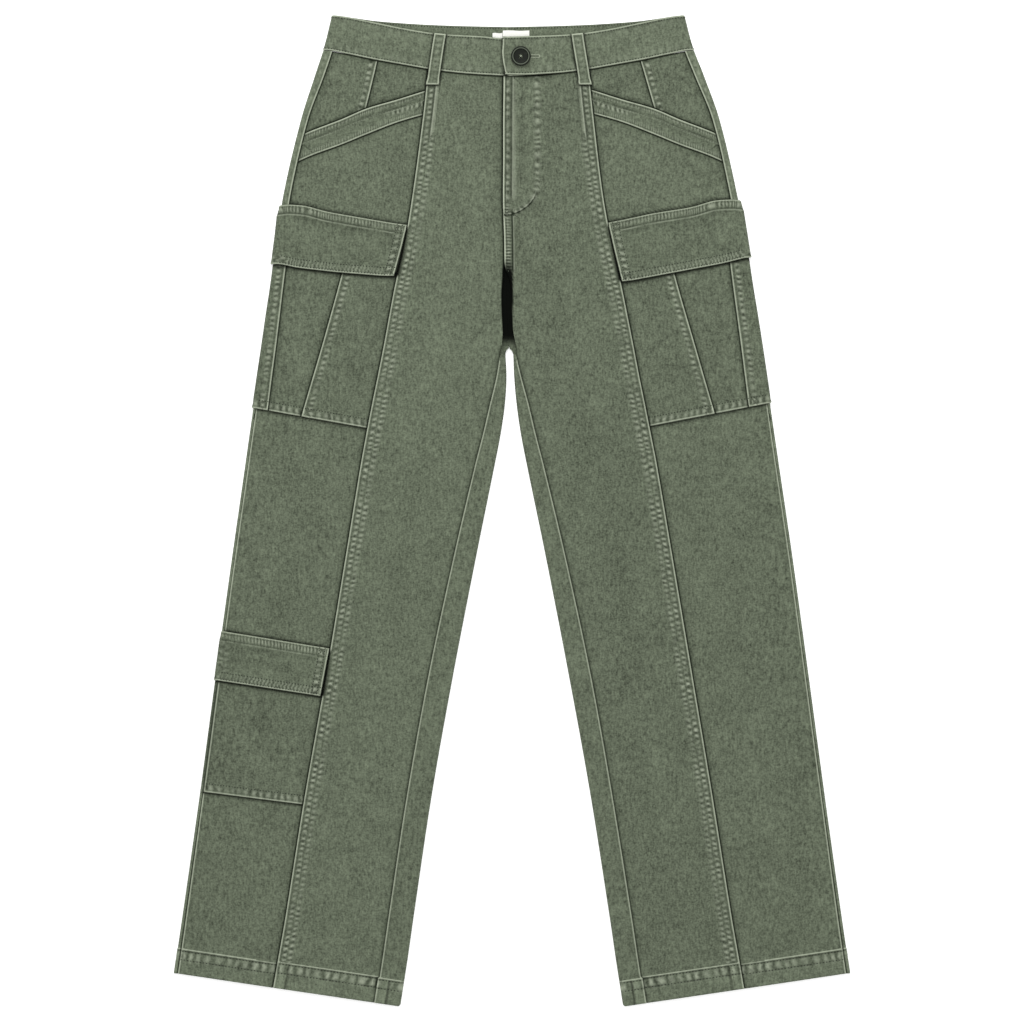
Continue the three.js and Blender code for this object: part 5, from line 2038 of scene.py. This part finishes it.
@dataclass
class WaistButton:
    """The fastened button with its thread cross, and the buttonhole beside it."""

    x: float = 9.3
    y: float = 476.2
    radius: float = 10.3
    thickness: float = 3.2
    rim: float = 2.3
    slope: float = 0.7
    dish: float = 1.3
    inner_ring: float = 4.2
    hole: float = 1.0
    spread: float = 2.2
    slit_start: float = 0.6
    slit_end: float = 8.4
    slit_half: float = 1.3
    stitch_reach: float = 0.7
    stitch_pitch: float = 0.55

    @property
    def seat(self) -> float:
        """Height of the band's face under the button."""
        return self.level(self.x, self.y) + SEAM_GAP

    @staticmethod
    def level(x: float, y: float) -> float:
        """Height of the lapped band's face at a place."""
        at = np.array(y)
        top = front_height(Side.LEFT, np.array(x - float(middle_line(at))), at)
        return float(top) + WAISTBAND_PROUD + OVERLAP_LIFT

    def build(self, garment: Garment) -> None:
        """Builds the button, its thread and its buttonhole."""
        self.disc(garment)
        self.cross(garment)
        self.buttonhole(garment)

    def disc(self, garment: Garment) -> None:
        """Models the disc from a cylinder: bevelled, with a sunk middle and four holes."""
        bpy.ops.object.select_all(action="DESELECT")
        middle = (self.x * MM, self.y * MM, (self.seat + self.thickness / 2) * MM)
        bpy.ops.mesh.primitive_cylinder_add(
            vertices=72, radius=self.radius * MM, depth=self.thickness * MM, location=middle
        )
        disc = bpy.context.active_object
        disc.name = "waist_button"
        bpy.ops.object.transform_apply(location=True, rotation=True, scale=True)
        bpy.ops.object.mode_set(mode="EDIT")
        bpy.ops.mesh.select_mode(type="FACE")
        bpy.ops.mesh.select_all(action="DESELECT")
        bpy.ops.object.mode_set(mode="OBJECT")
        for face in disc.data.polygons:
            face.select = face.normal.z > 0.9
        bpy.ops.object.mode_set(mode="EDIT")
        bpy.ops.mesh.inset(thickness=self.rim * MM)
        bpy.ops.mesh.inset(thickness=self.slope * MM)
        bpy.ops.transform.translate(value=(0, 0, -self.dish * MM))
        bpy.ops.mesh.inset(thickness=self.inner_ring * MM)
        bpy.ops.transform.translate(value=(0, 0, -0.2 * MM))
        bpy.ops.object.mode_set(mode="OBJECT")
        soft = disc.modifiers.new("soft_edges", "BEVEL")
        soft.width = 0.55 * MM
        soft.segments = 4
        soft.angle_limit = math.radians(25)
        bpy.ops.object.modifier_apply(modifier=soft.name)
        for turn in range(4):
            angle = turn * math.pi / 2 + math.pi / 4
            place = (
                (self.x + self.spread * math.cos(angle)) * MM,
                (self.y + self.spread * math.sin(angle)) * MM,
                middle[2],
            )
            bpy.ops.object.select_all(action="DESELECT")
            bpy.ops.mesh.primitive_cylinder_add(
                vertices=20, radius=self.hole * MM, depth=3 * self.thickness * MM, location=place
            )
            drill = bpy.context.active_object
            bpy.ops.object.transform_apply(location=True, rotation=True, scale=True)
            bpy.ops.object.select_all(action="DESELECT")
            bpy.context.view_layer.objects.active = disc
            disc.select_set(True)
            cut = disc.modifiers.new("hole", "BOOLEAN")
            cut.operation = "DIFFERENCE"
            cut.object = drill
            cut.solver = "EXACT"
            bpy.ops.object.modifier_apply(modifier=cut.name)
            bpy.data.objects.remove(drill)
        bpy.ops.object.shade_smooth_by_angle(angle=math.radians(35))
        corners = np.array([v.co for v in disc.data.vertices]) / MM
        layer = disc.data.attributes.new("radius", "FLOAT", "POINT")
        layer.data.foreach_set("value", np.hypot(corners[:, 0] - self.x, corners[:, 1] - self.y))
        disc.data.materials.clear()
        disc.data.materials.append(garment.finish.button)
        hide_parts("button")
        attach(disc, "root")
        logging.info("waist_button: %d faces", len(disc.data.polygons))

    def cross(self, garment: Garment) -> None:
        """Sews the button on with a cross of thread through its holes."""
        strands = Thread()
        level = self.seat + self.thickness - self.dish + 0.35
        reach = self.spread - 0.2
        for turn, shifts in ((0.25, (0.0,)), (0.75, (-0.35, 0.35))):
            for shift in shifts:
                angle = turn * math.pi
                along = np.array([math.cos(angle), math.sin(angle), 0.0])
                aside = np.array([-math.sin(angle), math.cos(angle), 0.0]) * shift
                centre = np.array([self.x, self.y, level]) + aside
                strands.stitch(centre - along * reach, centre + along * reach)
        self.trim(strands.build("button_thread"), garment.finish.pale_thread)

    def buttonhole(self, garment: Garment) -> None:
        """Works the keyhole beside the button with close stitches round a slit."""
        stitches = Thread()
        left = self.x + self.radius + self.slit_start
        right = self.x + self.radius + self.slit_end
        reach = self.slit_half + self.stitch_reach
        for x in np.arange(left, right, self.stitch_pitch):
            top = self.level(x, self.y) + 0.25
            for sign in (-1, 1):
                near = np.array([x, self.y + sign * 0.6, top + 0.15])
                far = np.array([x, self.y + sign * reach, top])
                stitches.stitch(near, far)
        top = self.level(right, self.y) + 0.25
        for angle in np.linspace(-math.pi / 2, math.pi / 2, 11):
            out = np.array([math.cos(angle), math.sin(angle), 0.0])
            centre = np.array([right, self.y, top + 0.1])
            stitches.stitch(centre + 0.6 * out, centre + reach * out)
        self.trim(stitches.build("buttonhole_stitches"), garment.finish.pale_thread)
        slit = Thread()
        begin = np.array([left - 1.0, self.y, top + 0.05])
        slit.stitch(begin, np.array([right + 0.6, self.y, top + 0.05]))
        self.trim(slit.build("buttonhole_slit"), garment.finish.thread)

    @staticmethod
    def trim(piece: bpy.types.Object, material: bpy.types.Material) -> None:
        """Finishes a small piece of thread."""
        piece.data.materials.append(material)
        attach(piece, "root")
        logging.info("%s: %d faces", piece.name, len(piece.data.polygons))


@dataclass
class Studio:
    """The plain white floor, the soft lights and the camera that looks straight down."""

    frame_width: float = 1075.2
    centre_y: float = -2.1
    camera_height: float = 6000.0
    garment_level: float = 6.0
    sensor: float = 36.0

    def build(self) -> None:
        """Sets up the floor, lights and camera."""
        bpy.context.scene.view_settings.view_transform = "Standard"
        self.floor()
        self.lights()
        self.camera()

    def floor(self) -> None:
        """Lays the floor."""
        bpy.ops.object.select_all(action="DESELECT")
        bpy.ops.mesh.primitive_plane_add(size=12.0, location=(0, 0, 0))
        floor = bpy.context.active_object
        floor.name = "floor"
        floor.data.transform(floor.matrix_world)
        floor.matrix_world.identity()
        g = Graph("pale_floor")
        grain = g.noise(g.place(), 240.0, 2.0)
        floor.data.materials.append(g.finished({
            "Base Color": g.dyed((250, 250, 250), 0.97 + grain * 0.03), "Roughness": 0.9,
            "Specular IOR Level": 0.1, "Emission Color": (1.0, 1.0, 1.0, 1.0), "Emission Strength": 0.4,
        }))

    def lights(self) -> None:
        """Hangs a large soft light past the waist, a weaker one overhead and a white sky."""
        lamps = (
            # name, place in metres, size, power
            ("key", (-0.35, 2.3, 2.3), 1.8, 66.4),
            ("overhead", (0.4, -0.3, 3.0), 2.4, 23.6),
        )
        for name, place, size, power in lamps:
            lamp = bpy.data.lights.new(name, "AREA")
            lamp.shape = "SQUARE"
            lamp.size = size
            lamp.energy = power
            holder = bpy.data.objects.new(name, lamp)
            holder.location = place
            aim = -np.array(place)
            holder.rotation_mode = "QUATERNION"
            holder.rotation_quaternion = Vector(aim).to_track_quat("-Z", "Y")
            bpy.context.scene.collection.objects.link(holder)
        world = bpy.data.worlds.new("studio")
        world.use_nodes = True
        world.node_tree.nodes["Background"].inputs["Color"].default_value = (1.0, 1.0, 1.0, 1.0)
        world.node_tree.nodes["Background"].inputs["Strength"].default_value = 0.59
        bpy.context.scene.world = world

    def camera(self) -> None:
        """Places the camera so that the photograph's frame fills it."""
        lens = bpy.data.cameras.new("camera")
        lens.sensor_width = self.sensor
        lens.lens = self.sensor * self.camera_height / self.frame_width
        lens.clip_end = 50.0
        camera = bpy.data.objects.new("camera", lens)
        camera.location = (0.0, self.centre_y * MM, (self.camera_height + self.garment_level) * MM)
        bpy.context.scene.collection.objects.link(camera)
        bpy.context.scene.camera = camera


def main() -> None:
    """Builds every piece in order."""
    logging.basicConfig(level=logging.INFO, format="%(message)s")
    Studio().build()
    garment = Garment()
    for side in Side:
        BackPanel(side).build(garment)
        Waistband(side).build(garment)
        LegFronts(side).build(garment)
        Hip(side).build(garment)
        CargoPocket(side).build(garment)
        BeltLoop(side).build(garment)
    KneePocket().build(garment)
    Labels().build(garment)
    WaistButton().build(garment)
    WaistButton.trim(garment.thread.build("topstitching"), garment.finish.thread)
    WaistButton.trim(garment.hem_thread.build("hem_stitching"), garment.finish.dark_thread)


if __name__ == "__main__":
    main()
